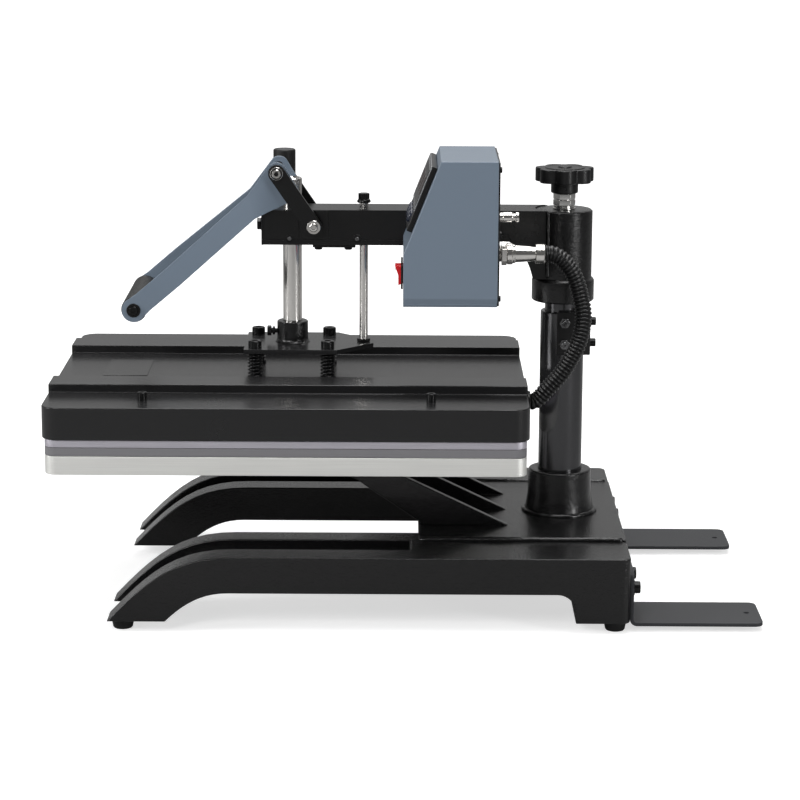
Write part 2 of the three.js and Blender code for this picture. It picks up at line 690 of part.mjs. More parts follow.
function makeDisplayPanel() {
  const slab = block(panelX, [panel.low, panel.high], [gap, panel.proud]);
  const wells = [-1, 0, 1].map((place) => uprightBar(
    button.radius + gap, [button.well, panel.proud + 1], boxMidX + place * button.pitch, button.along, 20,
  ));
  return cut(slab, ...wells).applyMatrix4(slantView);
}

function makeButton(place) {
  const x = boxMidX + place * button.pitch;
  const cap = uprightBar(button.radius, [button.seat, button.top], x, button.along, 20);
  return cap.applyMatrix4(slantView);
}

function makeSwitchFrame() {
  const halfX = powerSwitch.width / 2;
  const halfZ = powerSwitch.height / 2;
  const { rim, proud } = powerSwitch;
  const plate = block(
    [boxMidX - halfX, boxMidX + halfX], [boxFront - proud, boxFront - gap],
    [switchZ - halfZ, switchZ + halfZ],
  );
  const opening = block(
    [boxMidX - halfX + rim, boxMidX + halfX - rim], [boxFront - proud - 1, boxFront],
    [switchZ - halfZ + rim, switchZ + halfZ - rim],
  );
  return cut(plate, opening);
}

function makeRocker() {
  const { back, backHalf, crest, crestHalf, dip, tilt } = rocker;
  const outline = polygon([
    [back, -backHalf], [back, backHalf], [-crest, crestHalf], [-dip, 0], [-crest, -crestHalf],
  ]);
  const half = powerSwitch.halfRocker;
  const body = fromSide(outline, [boxMidX - half, boxMidX + half]);
  return body.rotateX(THREE.MathUtils.degToRad(tilt)).translate(0, boxFront, switchZ);
}

function makePowerInlet() {
  const { x, width, height, proud, bodyHalfX, bodyHalfZ, depth, wall } = inlet;
  const flange = block(
    [x - width / 2, x + width / 2], [boxRear + gap, boxRear + proud],
    [inletZ - height / 2, inletZ + height / 2],
  );
  const body = block(
    [x - bodyHalfX, x + bodyHalfX], [boxRear - depth, boxRear + proud],
    [inletZ - bodyHalfZ, inletZ + bodyHalfZ],
  );
  const recess = block(
    [x - bodyHalfX + wall, x + bodyHalfX - wall], [boxRear - depth + wall, boxRear + proud + 1],
    [inletZ - bodyHalfZ + wall, inletZ + bodyHalfZ - wall],
  );
  return cut(join(flange, body), recess);
}

// Turned about an axis that runs rearwards from the case's back.
function turnedRearwards(outline, sides, x, z) {
  return turned(outline, sides).rotateX(-Math.PI / 2).translate(x, boxRear + gap, z);
}

function makeSensorSocket() {
  const outline = [
    [0, 0], [6.5, 0], [6.5, 3], [5, 3], [5, 17], [4, 17], [4, 20], [5.4, 20], [5.4, 23.5], [0, 23.5],
  ];
  return turnedRearwards(outline, 16, lead.x, lead.sensorZ);
}

function makeConduitFitting() {
  const reach = columnY + conduitRoute[0][0] - gap - boxRear - gap;
  const outline = [
    [0, 0], [9, 0], [9, 4], [12.4, 4], [12.4, 14], [10, 14], [10, 19], [9.3, 19], [6.5, reach - 11],
    [11, reach - 11], [11, reach], [0, reach],
  ];
  return turnedRearwards(outline, 20, lead.x, lead.fittingZ);
}

function makeConduit() {
  const points = conduitRoute.map(([y, z]) => new THREE.Vector3(lead.x, columnY + y, z));
  const section = new THREE.Shape();
  section.absarc(0, 0, lead.radius, 0, 2 * Math.PI);
  const settings = { steps: 40, curveSegments: 5, extrudePath: new THREE.CatmullRomCurve3(points) };
  return new THREE.ExtrudeGeometry(section, settings);
}

// ---- Assembly ----

const finishes = {
  castBlack: { color: 0x161617, roughness: 0.45, metalness: 0.2 },
  satinBlack: { color: 0x1f1f20, roughness: 0.4, metalness: 0.3 },
  slateBlue: { color: 0x71808f, roughness: 0.5, metalness: 0.1 },
  chrome: { color: 0xc9c6c0, roughness: 0.15, metalness: 1 },
  brushedAluminium: { color: 0xc4c5c2, roughness: 0.45, metalness: 0.9 },
  greyAluminium: { color: 0x8f8e96, roughness: 0.5, metalness: 0.7 },
  silicone: { color: 0x55555a, roughness: 0.85, metalness: 0 },
  rubber: { color: 0x131313, roughness: 0.8, metalness: 0 },
  blackPlastic: { color: 0x101011, roughness: 0.35, metalness: 0 },
  redPlastic: { color: 0xd01f24, roughness: 0.3, metalness: 0 },
  navyPlastic: { color: 0x1d2230, roughness: 0.4, metalness: 0 },
};

const press = new THREE.Group();

function add(name, geometry, finish) {
  const mesh = new THREE.Mesh(geometry, new THREE.MeshStandardMaterial(finishes[finish]));
  mesh.name = name;
  press.add(mesh);
}

const sides = [['right', 1], ['left', -1]];
const ends = [['front', -1], ['rear', 1]];

for (const [word, side] of sides) {
  add(`${word}_leg`, makeLeg(side), 'castBlack');
  add(`${word}_front_foot`, makeFoot(side, tipY + foot.fromTip), 'rubber');
  add(`${word}_rear_foot`, makeFoot(side, rearY - foot.fromRear), 'rubber');
  add(`${word}_stabilizer`, makeStabilizer(side), 'satinBlack');
  add(`${word}_fin`, makeFin(side * fin.spacing), 'castBlack');
  add(`${word}_link`, makeLink(side), 'satinBlack');
  add(`${word}_handle_plate`, makeHandlePlate(side), 'slateBlue');
  for (const [place, end] of ends) {
    add(`${place}_${word}_hanger_bolt`, makeHangerBolt(side, end), 'satinBlack');
    add(`${place}_${word}_spring`, makeSpring(side, end), 'satinBlack');
  }
}
add('middle_fin', makeFin(0), 'castBlack');
add('base_deck', makeDeck(), 'castBlack');
add('column_socket', makeSocket(), 'castBlack');
add('column_tube', makeColumnTube(), 'satinBlack');
add('column_clamp', makeClamp(), 'satinBlack');
add('lower_platen', makeLowerPlaten(), 'brushedAluminium');
add('silicone_pad', makePad(), 'silicone');
add('heat_plate', makeHeatPlate(), 'greyAluminium');
add('platen_cover', makeCover(), 'satinBlack');
add('conduit_gland', makeGland(), 'blackPlastic');
add('hanger_plate', makeHangerPlate(), 'satinBlack');
add('lift_shaft', makeLiftShaft(), 'chrome');
add('shaft_collar', makeCollar(), 'castBlack');
add('wrist_pin', makeWristPin(), 'chrome');
add('guide_rod', makeGuideRod(), 'chrome');
add('rod_stop', makeRodStop(), 'blackPlastic');
add('arm_beam', makeArmBeam(), 'satinBlack');
add('shaft_guide', makeShaftGuide(), 'chrome');
add('under_plate', makeUnderPlate(), 'satinBlack');
add('arm_hub', makeHub(), 'castBlack');
add('swivel_post', makeSwivelPost(), 'satinBlack');
add('jam_nut', makeJamNut(), 'chrome');
add('pressure_knob', makePressureKnob(), 'blackPlastic');
add('swing_grip', makeSwingGrip(), 'rubber');
add('toggle_pin', makeTogglePin(), 'chrome');
add('handle_grip', makeHandleGrip(), 'rubber');
add('handle_tie_bar', makeTieBar(), 'satinBlack');
add('control_case', makeControlCase(), 'slateBlue');
add('display_panel', makeDisplayPanel(), 'blackPlastic');
add('down_button', makeButton(-1), 'navyPlastic');
add('set_button', makeButton(0), 'navyPlastic');
add('up_button', makeButton(1), 'navyPlastic');
add('switch_frame', makeSwitchFrame(), 'blackPlastic');
add('power_rocker', makeRocker(), 'redPlastic');
add('power_inlet', makePowerInlet(), 'blackPlastic');
add('sensor_socket', makeSensorSocket(), 'chrome');
add('conduit_fitting', makeConduitFitting(), 'chrome');
add('conduit', makeConduit(), 'blackPlastic');

press.position.y = -(stabilizerRear - coverHalfLength) / 2;
press.position.z = floorBelow;

export default press;
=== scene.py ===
# Heat press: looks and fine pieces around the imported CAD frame. Metres, +Z up, operator at -Y.
import bpy
import json
import math
from mathutils import Matrix, Vector


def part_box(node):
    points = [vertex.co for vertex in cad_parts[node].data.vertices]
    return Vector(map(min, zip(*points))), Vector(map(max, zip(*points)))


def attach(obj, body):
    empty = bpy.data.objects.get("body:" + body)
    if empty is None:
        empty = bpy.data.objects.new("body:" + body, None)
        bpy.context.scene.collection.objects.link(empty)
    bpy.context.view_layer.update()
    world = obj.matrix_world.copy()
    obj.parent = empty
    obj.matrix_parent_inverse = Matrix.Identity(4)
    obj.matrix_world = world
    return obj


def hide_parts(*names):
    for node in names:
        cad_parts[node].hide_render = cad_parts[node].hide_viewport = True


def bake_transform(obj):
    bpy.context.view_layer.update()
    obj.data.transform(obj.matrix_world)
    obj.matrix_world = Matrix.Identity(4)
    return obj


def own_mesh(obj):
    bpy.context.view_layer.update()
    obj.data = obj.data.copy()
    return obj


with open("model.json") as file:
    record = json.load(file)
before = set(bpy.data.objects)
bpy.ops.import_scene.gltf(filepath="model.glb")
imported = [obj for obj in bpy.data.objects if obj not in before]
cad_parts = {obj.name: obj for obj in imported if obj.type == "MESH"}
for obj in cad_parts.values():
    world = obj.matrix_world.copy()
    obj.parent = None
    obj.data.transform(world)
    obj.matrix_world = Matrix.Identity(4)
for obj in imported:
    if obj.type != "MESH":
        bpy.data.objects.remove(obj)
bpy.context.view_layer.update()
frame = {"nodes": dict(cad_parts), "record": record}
nodes = frame["nodes"]
print("frame loaded:", len(nodes), "nodes")

bodyOf = {}
for body, members in frame["record"]["behaviour"]["bodies"].items():
    for member in members:
        bodyOf[member] = body

# Drawing places are in millimetres from the lift shaft's axis, 3 mm above the floor.
shaftLow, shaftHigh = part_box("lift_shaft")
drawingOrigin = Vector((0, (shaftLow.y + shaftHigh.y) / 2, 0.003))


def at(x, y, z):
    return drawingOrigin + Vector((x, y, z)) / 1000


# Camera, floor and light

cameraSettings = {
    "lens": 124, "sensor": 36, "farLimit": 60, "elevation": 12.3, "roll": 0.3, "distance": 3.087,
    "aim": (0, -0.0062, 0.2094),
}


def makeCamera():
    tilt = math.radians(cameraSettings["elevation"])
    reach = cameraSettings["distance"]
    place = Vector(cameraSettings["aim"]) + Vector((reach * math.cos(tilt), 0, reach * math.sin(tilt)))
    bpy.ops.object.camera_add(location=place)
    camera = bpy.context.object
    camera.name = "benchCamera"
    level = Matrix.Rotation(math.radians(90), 4, "Z") @ Matrix.Rotation(math.radians(90) - tilt, 4, "X")
    turn = level @ Matrix.Rotation(math.radians(cameraSettings["roll"]), 4, "Z")
    camera.matrix_world = Matrix.Translation(place) @ turn
    camera.data.lens = cameraSettings["lens"]
    camera.data.sensor_width = cameraSettings["sensor"]
    camera.data.clip_end = cameraSettings["farLimit"]
    bpy.context.scene.camera = camera


studio = {
    "floorSize": 60, "floorDrop": 0.0004, "floorShade": 0.62, "bounceShade": 0.34, "floorGlow": 0.02,
    "nearGlow": 0.62, "farGlow": 1.0, "glowFrom": 0.5, "glowTo": 2.2,
    "backShade": 1.0, "roomShade": 0.10, "rearShade": 0.42, "roomFrom": 0.2, "roomTo": -0.9,
    "lamps": [
        # name, place, aimed at, size x and y, power
        ("topSoftbox", (0.1, 0.1, 2.2), (0, 0.05, 0.2), 0.8, 2.4, 34),
        ("frontSoftbox", (0.9, -2.6, 1.3), (0, 0, 0.25), 0.9, 1.3, 46),
        ("sideSoftbox", (2.7, -1.3, 1.9), (0, 0, 0.25), 0.9, 1.1, 40),
        ("stripSoftbox", (1.9, 2.3, 0.9), (0, 0.15, 0.3), 0.45, 1.5, 34),
        ("backSoftbox", (-1.7, 0.2, 2.7), (0, 0, 0.3), 2.6, 0.7, 30),
    ],
}


def makeFloorPaper():
    # Seen straight by the camera the paper glows, more so far away, so that it ends in white; its
    # bounce onto the object stays dim
    paper = bpy.data.materials.new("floorPaper")
    paper.use_nodes = True
    tree = paper.node_tree
    shader = tree.nodes["Principled BSDF"]
    shader.inputs["Roughness"].default_value = 0.8
    shader.inputs["Specular IOR Level"].default_value = 0.1
    shader.inputs["Emission Color"].default_value = (1, 1, 1, 1)
    place = tree.nodes.new("ShaderNodeTexCoord")
    reach = tree.nodes.new("ShaderNodeVectorMath")
    reach.operation = "LENGTH"
    glow = tree.nodes.new("ShaderNodeMapRange")
    glow.inputs["From Min"].default_value = studio["glowFrom"]
    glow.inputs["From Max"].default_value = studio["glowTo"]
    glow.inputs["To Min"].default_value = studio["nearGlow"]
    glow.inputs["To Max"].default_value = studio["farGlow"]
    seen = tree.nodes.new("ShaderNodeLightPath")
    chooser = tree.nodes.new("ShaderNodeMix")
    chooser.inputs[2].default_value = studio["floorGlow"]
    shade = tree.nodes.new("ShaderNodeMix")
    shade.inputs[2].default_value = studio["bounceShade"]
    shade.inputs[3].default_value = studio["floorShade"]
    tree.links.new(seen.outputs["Is Camera Ray"], shade.inputs[0])
    tree.links.new(shade.outputs[0], shader.inputs["Base Color"])
    tree.links.new(place.outputs["Object"], reach.inputs[0])
    tree.links.new(reach.outputs["Value"], glow.inputs["Value"])
    tree.links.new(seen.outputs["Is Camera Ray"], chooser.inputs[0])
    tree.links.new(glow.outputs[0], chooser.inputs[3])
    tree.links.new(chooser.outputs[0], shader.inputs["Emission Strength"])
    return paper


def makeRoom():
    # White behind the object as the camera sees it; for light and reflections a dim room, brighter
    # on the side behind the object
    world = bpy.data.worlds.new("studioWorld")
    bpy.context.scene.world = world
    world.use_nodes = True
    tree = world.node_tree
    room = tree.nodes["Background"]
    back = tree.nodes.new("ShaderNodeBackground")
    seen = tree.nodes.new("ShaderNodeLightPath")
    chooser = tree.nodes.new("ShaderNodeMixShader")
    bright = studio["backShade"]
    view = tree.nodes.new("ShaderNodeTexCoord")
    parts = tree.nodes.new("ShaderNodeSeparateXYZ")
    fade = tree.nodes.new("ShaderNodeMapRange")
    fade.interpolation_type = "SMOOTHSTEP"
    fade.inputs["From Min"].default_value = studio["roomFrom"]
    fade.inputs["From Max"].default_value = studio["roomTo"]
    fade.inputs["To Min"].default_value = studio["roomShade"]
    fade.inputs["To Max"].default_value = studio["rearShade"]
    tree.links.new(view.outputs["Generated"], parts.inputs[0])
    tree.links.new(parts.outputs["X"], fade.inputs["Value"])
    tree.links.new(fade.outputs[0], room.inputs["Strength"])
    room.inputs["Color"].default_value = (1, 1, 1, 1)
    back.inputs["Color"].default_value = (bright, bright, bright, 1)
    tree.links.new(seen.outputs["Is Camera Ray"], chooser.inputs[0])
    tree.links.new(room.outputs[0], chooser.inputs[1])
    tree.links.new(back.outputs[0], chooser.inputs[2])
    tree.links.new(chooser.outputs[0], tree.nodes["World Output"].inputs["Surface"])


def makeStudio():
    bpy.ops.mesh.primitive_plane_add(size=studio["floorSize"], location=(0, 0, -studio["floorDrop"]))
    floor = bpy.context.object
    floor.name = "studioFloor"
    floor.data.materials.append(makeFloorPaper())
    makeRoom()
    for name, place, aim, sizeX, sizeY, power in studio["lamps"]:
        bpy.ops.object.light_add(type="AREA", location=place)
        lamp = bpy.context.object
        lamp.name = name
        lamp.data.shape = "RECTANGLE"
        lamp.data.size = sizeX
        lamp.data.size_y = sizeY
        lamp.data.energy = power
        lamp.rotation_euler = (Vector(aim) - Vector(place)).to_track_quat("-Z", "Y").to_euler()
    bpy.context.scene.view_settings.view_transform = "Standard"


makeCamera()
makeStudio()
print("camera and studio ready")

# Node groups that several finishes share


def newGroup(name, inputs, outputs):
    group = bpy.data.node_groups.new(name, "ShaderNodeTree")
    for socketName, socketType, value in inputs:
        socket = group.interface.new_socket(socketName, in_out="INPUT", socket_type=socketType)
        socket.default_value = value
    for socketName, socketType in outputs:
        group.interface.new_socket(socketName, in_out="OUTPUT", socket_type=socketType)
    entry = group.nodes.new("NodeGroupInput")
    exitNode = group.nodes.new("NodeGroupOutput")
    return group, entry, exitNode


def addNode(tree, kind, **values):
    node = tree.nodes.new(kind)
    for key, value in values.items():
        if key in node.inputs:
            node.inputs[key].default_value = value
        else:
            setattr(node, key, value)
    return node


def makeGrainGroup():
    # Fine lumps of paint or cast skin: a height for Bump and a mask for roughness
    group, entry, exitNode = newGroup(
        "paintGrain",
        [("Scale", "NodeSocketFloat", 900.0), ("Coarse Scale", "NodeSocketFloat", 60.0),
         ("Coarse Share", "NodeSocketFloat", 0.4)],
        [("Height", "NodeSocketFloat"), ("Mask", "NodeSocketFloat")],
    )
    place = addNode(group, "ShaderNodeTexCoord")
    fine = addNode(group, "ShaderNodeTexNoise", Detail=3.0, Roughness=0.55)
    coarse = addNode(group, "ShaderNodeTexNoise", Detail=4.0, Roughness=0.6)
    blendNode = addNode(group, "ShaderNodeMix", data_type="FLOAT")
    group.links.new(place.outputs["Object"], fine.inputs["Vector"])
    group.links.new(place.outputs["Object"], coarse.inputs["Vector"])
    group.links.new(entry.outputs["Scale"], fine.inputs["Scale"])
    group.links.new(entry.outputs["Coarse Scale"], coarse.inputs["Scale"])
    group.links.new(entry.outputs["Coarse Share"], blendNode.inputs[0])
    group.links.new(fine.outputs["Fac"], blendNode.inputs[2])
    group.links.new(coarse.outputs["Fac"], blendNode.inputs[3])
    group.links.new(blendNode.outputs[0], exitNode.inputs["Height"])
    group.links.new(coarse.outputs["Fac"], exitNode.inputs["Mask"])
    return group


def makeBrushGroup():
    # Long scratches: noise squeezed across the brushing direction
    group, entry, exitNode = newGroup(
        "brushLines",
        [("Stretch", "NodeSocketVector", (400.0, 4.0, 400.0)), ("Depth", "NodeSocketFloat", 1.0)],
        [("Height", "NodeSocketFloat"), ("Mask", "NodeSocketFloat")],
    )
    place = addNode(group, "ShaderNodeTexCoord")
    squeeze = addNode(group, "ShaderNodeVectorMath", operation="MULTIPLY")
    lines = addNode(group, "ShaderNodeTexNoise", Scale=1.0, Detail=5.0, Roughness=0.7)
    deepen = addNode(group, "ShaderNodeMath", operation="MULTIPLY")
    group.links.new(place.outputs["Object"], squeeze.inputs[0])
    group.links.new(entry.outputs["Stretch"], squeeze.inputs[1])
    group.links.new(squeeze.outputs[0], lines.inputs["Vector"])
    group.links.new(lines.outputs["Fac"], deepen.inputs[0])
    group.links.new(entry.outputs["Depth"], deepen.inputs[1])
    group.links.new(deepen.outputs[0], exitNode.inputs["Height"])
    group.links.new(lines.outputs["Fac"], exitNode.inputs["Mask"])
    return group


def makeSmudgeGroup():
    # Broad uneven sheen and a little dust that lies on faces turned up
    group, entry, exitNode = newGroup(
        "smudgeAndDust",
        [("Base", "NodeSocketColor", (0.1, 0.1, 0.1, 1)),
         ("Dust Color", "NodeSocketColor", (0.5, 0.5, 0.5, 1)),
         ("Dust", "NodeSocketFloat", 0.03), ("Rough Low", "NodeSocketFloat", 0.3),
         ("Rough High", "NodeSocketFloat", 0.45)],
        [("Color", "NodeSocketColor"), ("Roughness", "NodeSocketFloat")],
    )
    place = addNode(group, "ShaderNodeTexCoord")
    clouds = addNode(group, "ShaderNodeTexNoise", Scale=9.0, Detail=5.0, Roughness=0.6)
    facing = addNode(group, "ShaderNodeNewGeometry")
    upward = addNode(group, "ShaderNodeSeparateXYZ")
    lift = addNode(group, "ShaderNodeMath", operation="MULTIPLY", use_clamp=True)
    amount = addNode(group, "ShaderNodeMath", operation="MULTIPLY", use_clamp=True)
    tint = addNode(group, "ShaderNodeMix", data_type="RGBA")
    spread = addNode(group, "ShaderNodeMapRange")
    group.links.new(place.outputs["Object"], clouds.inputs["Vector"])
    group.links.new(facing.outputs["Normal"], upward.inputs[0])
    group.links.new(upward.outputs["Z"], lift.inputs[0])
    group.links.new(clouds.outputs["Fac"], lift.inputs[1])
    group.links.new(lift.outputs[0], amount.inputs[0])
    group.links.new(entry.outputs["Dust"], amount.inputs[1])
    group.links.new(amount.outputs[0], tint.inputs[0])
    group.links.new(entry.outputs["Base"], tint.inputs[6])
    group.links.new(entry.outputs["Dust Color"], tint.inputs[7])
    group.links.new(clouds.outputs["Fac"], spread.inputs["Value"])
    group.links.new(entry.outputs["Rough Low"], spread.inputs["To Min"])
    group.links.new(entry.outputs["Rough High"], spread.inputs["To Max"])
    group.links.new(tint.outputs[2], exitNode.inputs["Color"])
    group.links.new(spread.outputs[0], exitNode.inputs["Roughness"])
    return group


grainGroup = makeGrainGroup()
brushGroup = makeBrushGroup()
smudgeGroup = makeSmudgeGroup()

# Finishes

finishes = {
    # name: colour, dust, rough low and high, metallic, bump, fine scale, coarse scale, coarse share, coat
    "castPaint": ((0.0032, 0.0032, 0.0034), 0.012, 0.15, 0.28, 0.0, 0.9, 520, 170, 0.55, 0.22),
    "powderBlack": ((0.0048, 0.0048, 0.0050), 0.02, 0.22, 0.34, 0.0, 0.16, 1500, 300, 0.3, 0.0),
    "coverPaint": ((0.0072, 0.0072, 0.0076), 0.02, 0.22, 0.30, 0.0, 0.08, 1800, 120, 0.3, 0.15),
    "columnPaint": ((0.070, 0.070, 0.073), 0.02, 0.14, 0.22, 0.8, 0.04, 1400, 150, 0.3, 0.1),
    "slateBlue": ((0.132, 0.168, 0.213), 0.03, 0.36, 0.46, 0.0, 0.05, 1700, 400, 0.2, 0.25),
    "blackOxide": ((0.006, 0.006, 0.0062), 0.0, 0.2, 0.32, 0.3, 0.05, 1500, 300, 0.3, 0.0),
    "siliconeSponge": ((0.165, 0.163, 0.172), 0.02, 0.78, 0.9, 0.0, 0.35, 1300, 500, 0.5, 0.0),
    "blackRubber": ((0.005, 0.005, 0.005), 0.03, 0.42, 0.56, 0.0, 0.12, 1200, 300, 0.4, 0.0),
    "mouldedBlack": ((0.0055, 0.0055, 0.0058), 0.02, 0.26, 0.38, 0.0, 0.10, 1300, 260, 0.35, 0.0),
    "conduitBlack": ((0.006, 0.006, 0.0062), 0.01, 0.24, 0.34, 0.0, 0.05, 1500, 260, 0.3, 0.0),
    "rockerRed": ((0.62, 0.008, 0.012), 0.0, 0.18, 0.26, 0.0, 0.02, 900, 200, 0.2, 0.3),
    "markWhite": ((0.75, 0.75, 0.75), 0.0, 0.5, 0.6, 0.0, 0.03, 1500, 300, 0.3, 0.0),
    "platePaint": ((0.022, 0.023, 0.026), 0.05, 0.48, 0.6, 0.0, 0.12, 1600, 500, 0.3, 0.0),
    "blankPlate": ((0.0078, 0.0078, 0.0082), 0.02, 0.22, 0.30, 0.0, 0.04, 1600, 300, 0.3, 0.15),
    "buttonDark": ((0.012, 0.016, 0.030), 0.0, 0.2, 0.3, 0.0, 0.03, 1400, 300, 0.3, 0.3),
    "displayWindow": ((0.03, 0.012, 0.010), 0.0, 0.08, 0.14, 0.0, 0.0, 1500, 300, 0.3, 0.5),
    "displayDark": ((0.004, 0.0045, 0.005), 0.0, 0.05, 0.09, 0.0, 0.0, 1500, 300, 0.3, 0.6),
}

metals = {
    # name: colour, rough low and high, brushing stretch, bump
    "brightSteel": ((0.86, 0.84, 0.81), 0.12, 0.22, (6.0, 6.0, 900.0), 0.02),
    "zincNut": ((0.88, 0.87, 0.85), 0.16, 0.28, (250.0, 250.0, 250.0), 0.03),
    "brushedPlate": ((0.93, 0.93, 0.90), 0.42, 0.6, (300.0, 9.0, 900.0), 0.12),
    "lilacPlate": ((0.62, 0.60, 0.66), 0.42, 0.55, (200.0, 30.0, 500.0), 0.05),
    "darkSteel": ((0.22, 0.22, 0.225), 0.2, 0.32, (250.0, 250.0, 250.0), 0.03),
    "silverTrim": ((0.62, 0.63, 0.64), 0.22, 0.3, (300.0, 300.0, 20.0), 0.02),
}

finishLook = {
    "dustShade": 0.42, "coatRough": 0.12, "specular": 0.36, "reliefDepth": 0.001, "scratchShade": 0.82,
}

materials = {}


def startMaterial(name):
    material = bpy.data.materials.new(name)
    material.use_nodes = True
    tree = material.node_tree
    materials[name] = material
    return tree, tree.nodes["Principled BSDF"]


def makePaint(name, colour, dust, roughLow, roughHigh, metallic, bump, scale, coarse, share, coat):
    tree, shader = startMaterial(name)
    smudge = addNode(tree, "ShaderNodeGroup", node_tree=smudgeGroup)
    smudge.inputs["Base"].default_value = (*colour, 1)
    smudge.inputs["Dust Color"].default_value = (*[finishLook["dustShade"]] * 3, 1)
    smudge.inputs["Dust"].default_value = dust
    smudge.inputs["Rough Low"].default_value = roughLow
    smudge.inputs["Rough High"].default_value = roughHigh
    grain = addNode(tree, "ShaderNodeGroup", node_tree=grainGroup)
    grain.inputs["Scale"].default_value = scale
    grain.inputs["Coarse Scale"].default_value = coarse
    grain.inputs["Coarse Share"].default_value = share
    relief = addNode(tree, "ShaderNodeBump", Strength=bump, Distance=finishLook["reliefDepth"])
    tree.links.new(grain.outputs["Height"], relief.inputs["Height"])
    tree.links.new(relief.outputs["Normal"], shader.inputs["Normal"])
    tree.links.new(smudge.outputs["Color"], shader.inputs["Base Color"])
    tree.links.new(smudge.outputs["Roughness"], shader.inputs["Roughness"])
    shader.inputs["Metallic"].default_value = metallic
    shader.inputs["Coat Weight"].default_value = coat
    shader.inputs["Coat Roughness"].default_value = finishLook["coatRough"]
    shader.inputs["Specular IOR Level"].default_value = finishLook["specular"]


def makeMetal(name, colour, roughLow, roughHigh, stretch, bump):
    tree, shader = startMaterial(name)
    brush = addNode(tree, "ShaderNodeGroup", node_tree=brushGroup)
    brush.inputs["Stretch"].default_value = stretch
    spread = addNode(tree, "ShaderNodeMapRange")
    spread.inputs["To Min"].default_value = roughLow
    spread.inputs["To Max"].default_value = roughHigh
    tone = addNode(tree, "ShaderNodeMix", data_type="RGBA")
    tone.inputs[6].default_value = (*[finishLook["scratchShade"] * c for c in colour], 1)
    tone.inputs[7].default_value = (*colour, 1)
    relief = addNode(tree, "ShaderNodeBump", Strength=bump, Distance=finishLook["reliefDepth"])
    tree.links.new(brush.outputs["Mask"], spread.inputs["Value"])
    tree.links.new(brush.outputs["Mask"], tone.inputs[0])
    tree.links.new(brush.outputs["Height"], relief.inputs["Height"])
    tree.links.new(relief.outputs["Normal"], shader.inputs["Normal"])
    tree.links.new(spread.outputs[0], shader.inputs["Roughness"])
    tree.links.new(tone.outputs[2], shader.inputs["Base Color"])
    shader.inputs["Metallic"].default_value = 1.0


for name, values in finishes.items():
    makePaint(name, *values)
for name, values in metals.items():
    makeMetal(name, *values)
print("finishes ready:", len(materials))

# Working with pieces


def clearSelection():
    if bpy.context.mode != "OBJECT":
        bpy.ops.object.mode_set(mode="OBJECT")
    bpy.ops.object.select_all(action="DESELECT")


def pick(*pieces):
    clearSelection()
    for piece in pieces:
        piece.select_set(True)
    bpy.context.view_layer.objects.active = pieces[0]


def applyModifier(piece, kind, **values):
    pick(piece)
    modifier = piece.modifiers.new(kind.title(), kind)
    for key, value in values.items():
        setattr(modifier, key, value)
    bpy.ops.object.modifier_apply(modifier=modifier.name)


def fixPlace(piece):
    # Puts the piece's place, turn and scale into its mesh
    pick(piece)
    bpy.ops.object.transform_apply(location=True, rotation=True, scale=True)


def joinPieces(*pieces):
    # One object from several; the first keeps its name
    pick(*pieces)
    bpy.ops.object.transform_apply(location=True, rotation=True, scale=True)
    bpy.ops.object.join()
    return bpy.context.object


def evenShading(piece, limit):
    pick(piece)
    bpy.ops.object.shade_smooth_by_angle(angle=math.radians(limit))
    applyModifier(piece, "WEIGHTED_NORMAL", keep_sharp=True, weight=80)


def settle(piece, name, finish, body, smooth=35):
    # The finished piece: its place in its mesh, one finish, and the body it belongs to
    fixPlace(piece)
    piece.name = name
    piece.data.name = name
    piece.data.materials.clear()
    piece.data.materials.append(materials[finish])
    evenShading(piece, smooth)
    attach(piece, body)
    return piece


def standFor(piece, node, finish, smooth=35):
    # A new piece that takes a CAD node's place, with its body
    settle(piece, node + "_finished", finish, bodyOf[node], smooth)
    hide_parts(node)
    return piece


def middle(node):
    low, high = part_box(node)
    return (low + high) / 2


def upright(node):
    # An upright round node's foot, and its radius and height in millimetres
    low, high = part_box(node)
    centre = middle(node)
    return Vector((centre.x, centre.y, low.z)), (high.x - low.x) * 500, (high.z - low.z) * 1000


def agree(first, second, *axes):
    # Whether an edge's two ends agree along the axes, so that it runs along the remaining one
    return all(abs(first[axis] - second[axis]) < 1e-5 for axis in axes)


def selectEdges(piece, test):
    # Leaves the piece in edit mode with the edges chosen whose two ends pass the test
    pick(piece)
    bpy.ops.object.mode_set(mode="EDIT")
    bpy.ops.mesh.select_mode(type="EDGE")
    bpy.ops.mesh.select_all(action="DESELECT")
    bpy.ops.object.mode_set(mode="OBJECT")
    mesh = piece.data
    for edge in mesh.edges:
        first, second = (mesh.vertices[i].co for i in edge.vertices)
        edge.select = bool(test(first, second))
    bpy.ops.object.mode_set(mode="EDIT")


def roundEdges(piece, test, radius, segments=4):
    selectEdges(piece, test)
    bpy.ops.mesh.bevel(offset=radius, segments=segments, profile=0.5, clamp_overlap=True)
    bpy.ops.object.mode_set(mode="OBJECT")


def mergedCopy(node):
    # The CAD node's own shape, with its loose faces merged and its flat faces made whole
    piece = bpy.data.objects.new(node + "_finished", nodes[node].data.copy())
    bpy.context.scene.collection.objects.link(piece)
    pick(piece)
    bpy.ops.object.mode_set(mode="EDIT")
    bpy.ops.mesh.select_all(action="SELECT")
    bpy.ops.mesh.remove_doubles(threshold=0.00001)
    bpy.ops.mesh.dissolve_limited(angle_limit=math.radians(0.6))
    bpy.ops.object.mode_set(mode="OBJECT")
    return piece


def softenEdges(piece, width, segments=2, limit=32):
    applyModifier(
        piece, "BEVEL", width=width, segments=segments, limit_method="ANGLE",
        angle_limit=math.radians(limit), use_clamp_overlap=True,
    )


def softCopy(node, finish, width, segments=2, limit=32, smooth=40):
    piece = mergedCopy(node)
    softenEdges(piece, width, segments, limit)
    return standFor(piece, node, finish, smooth)


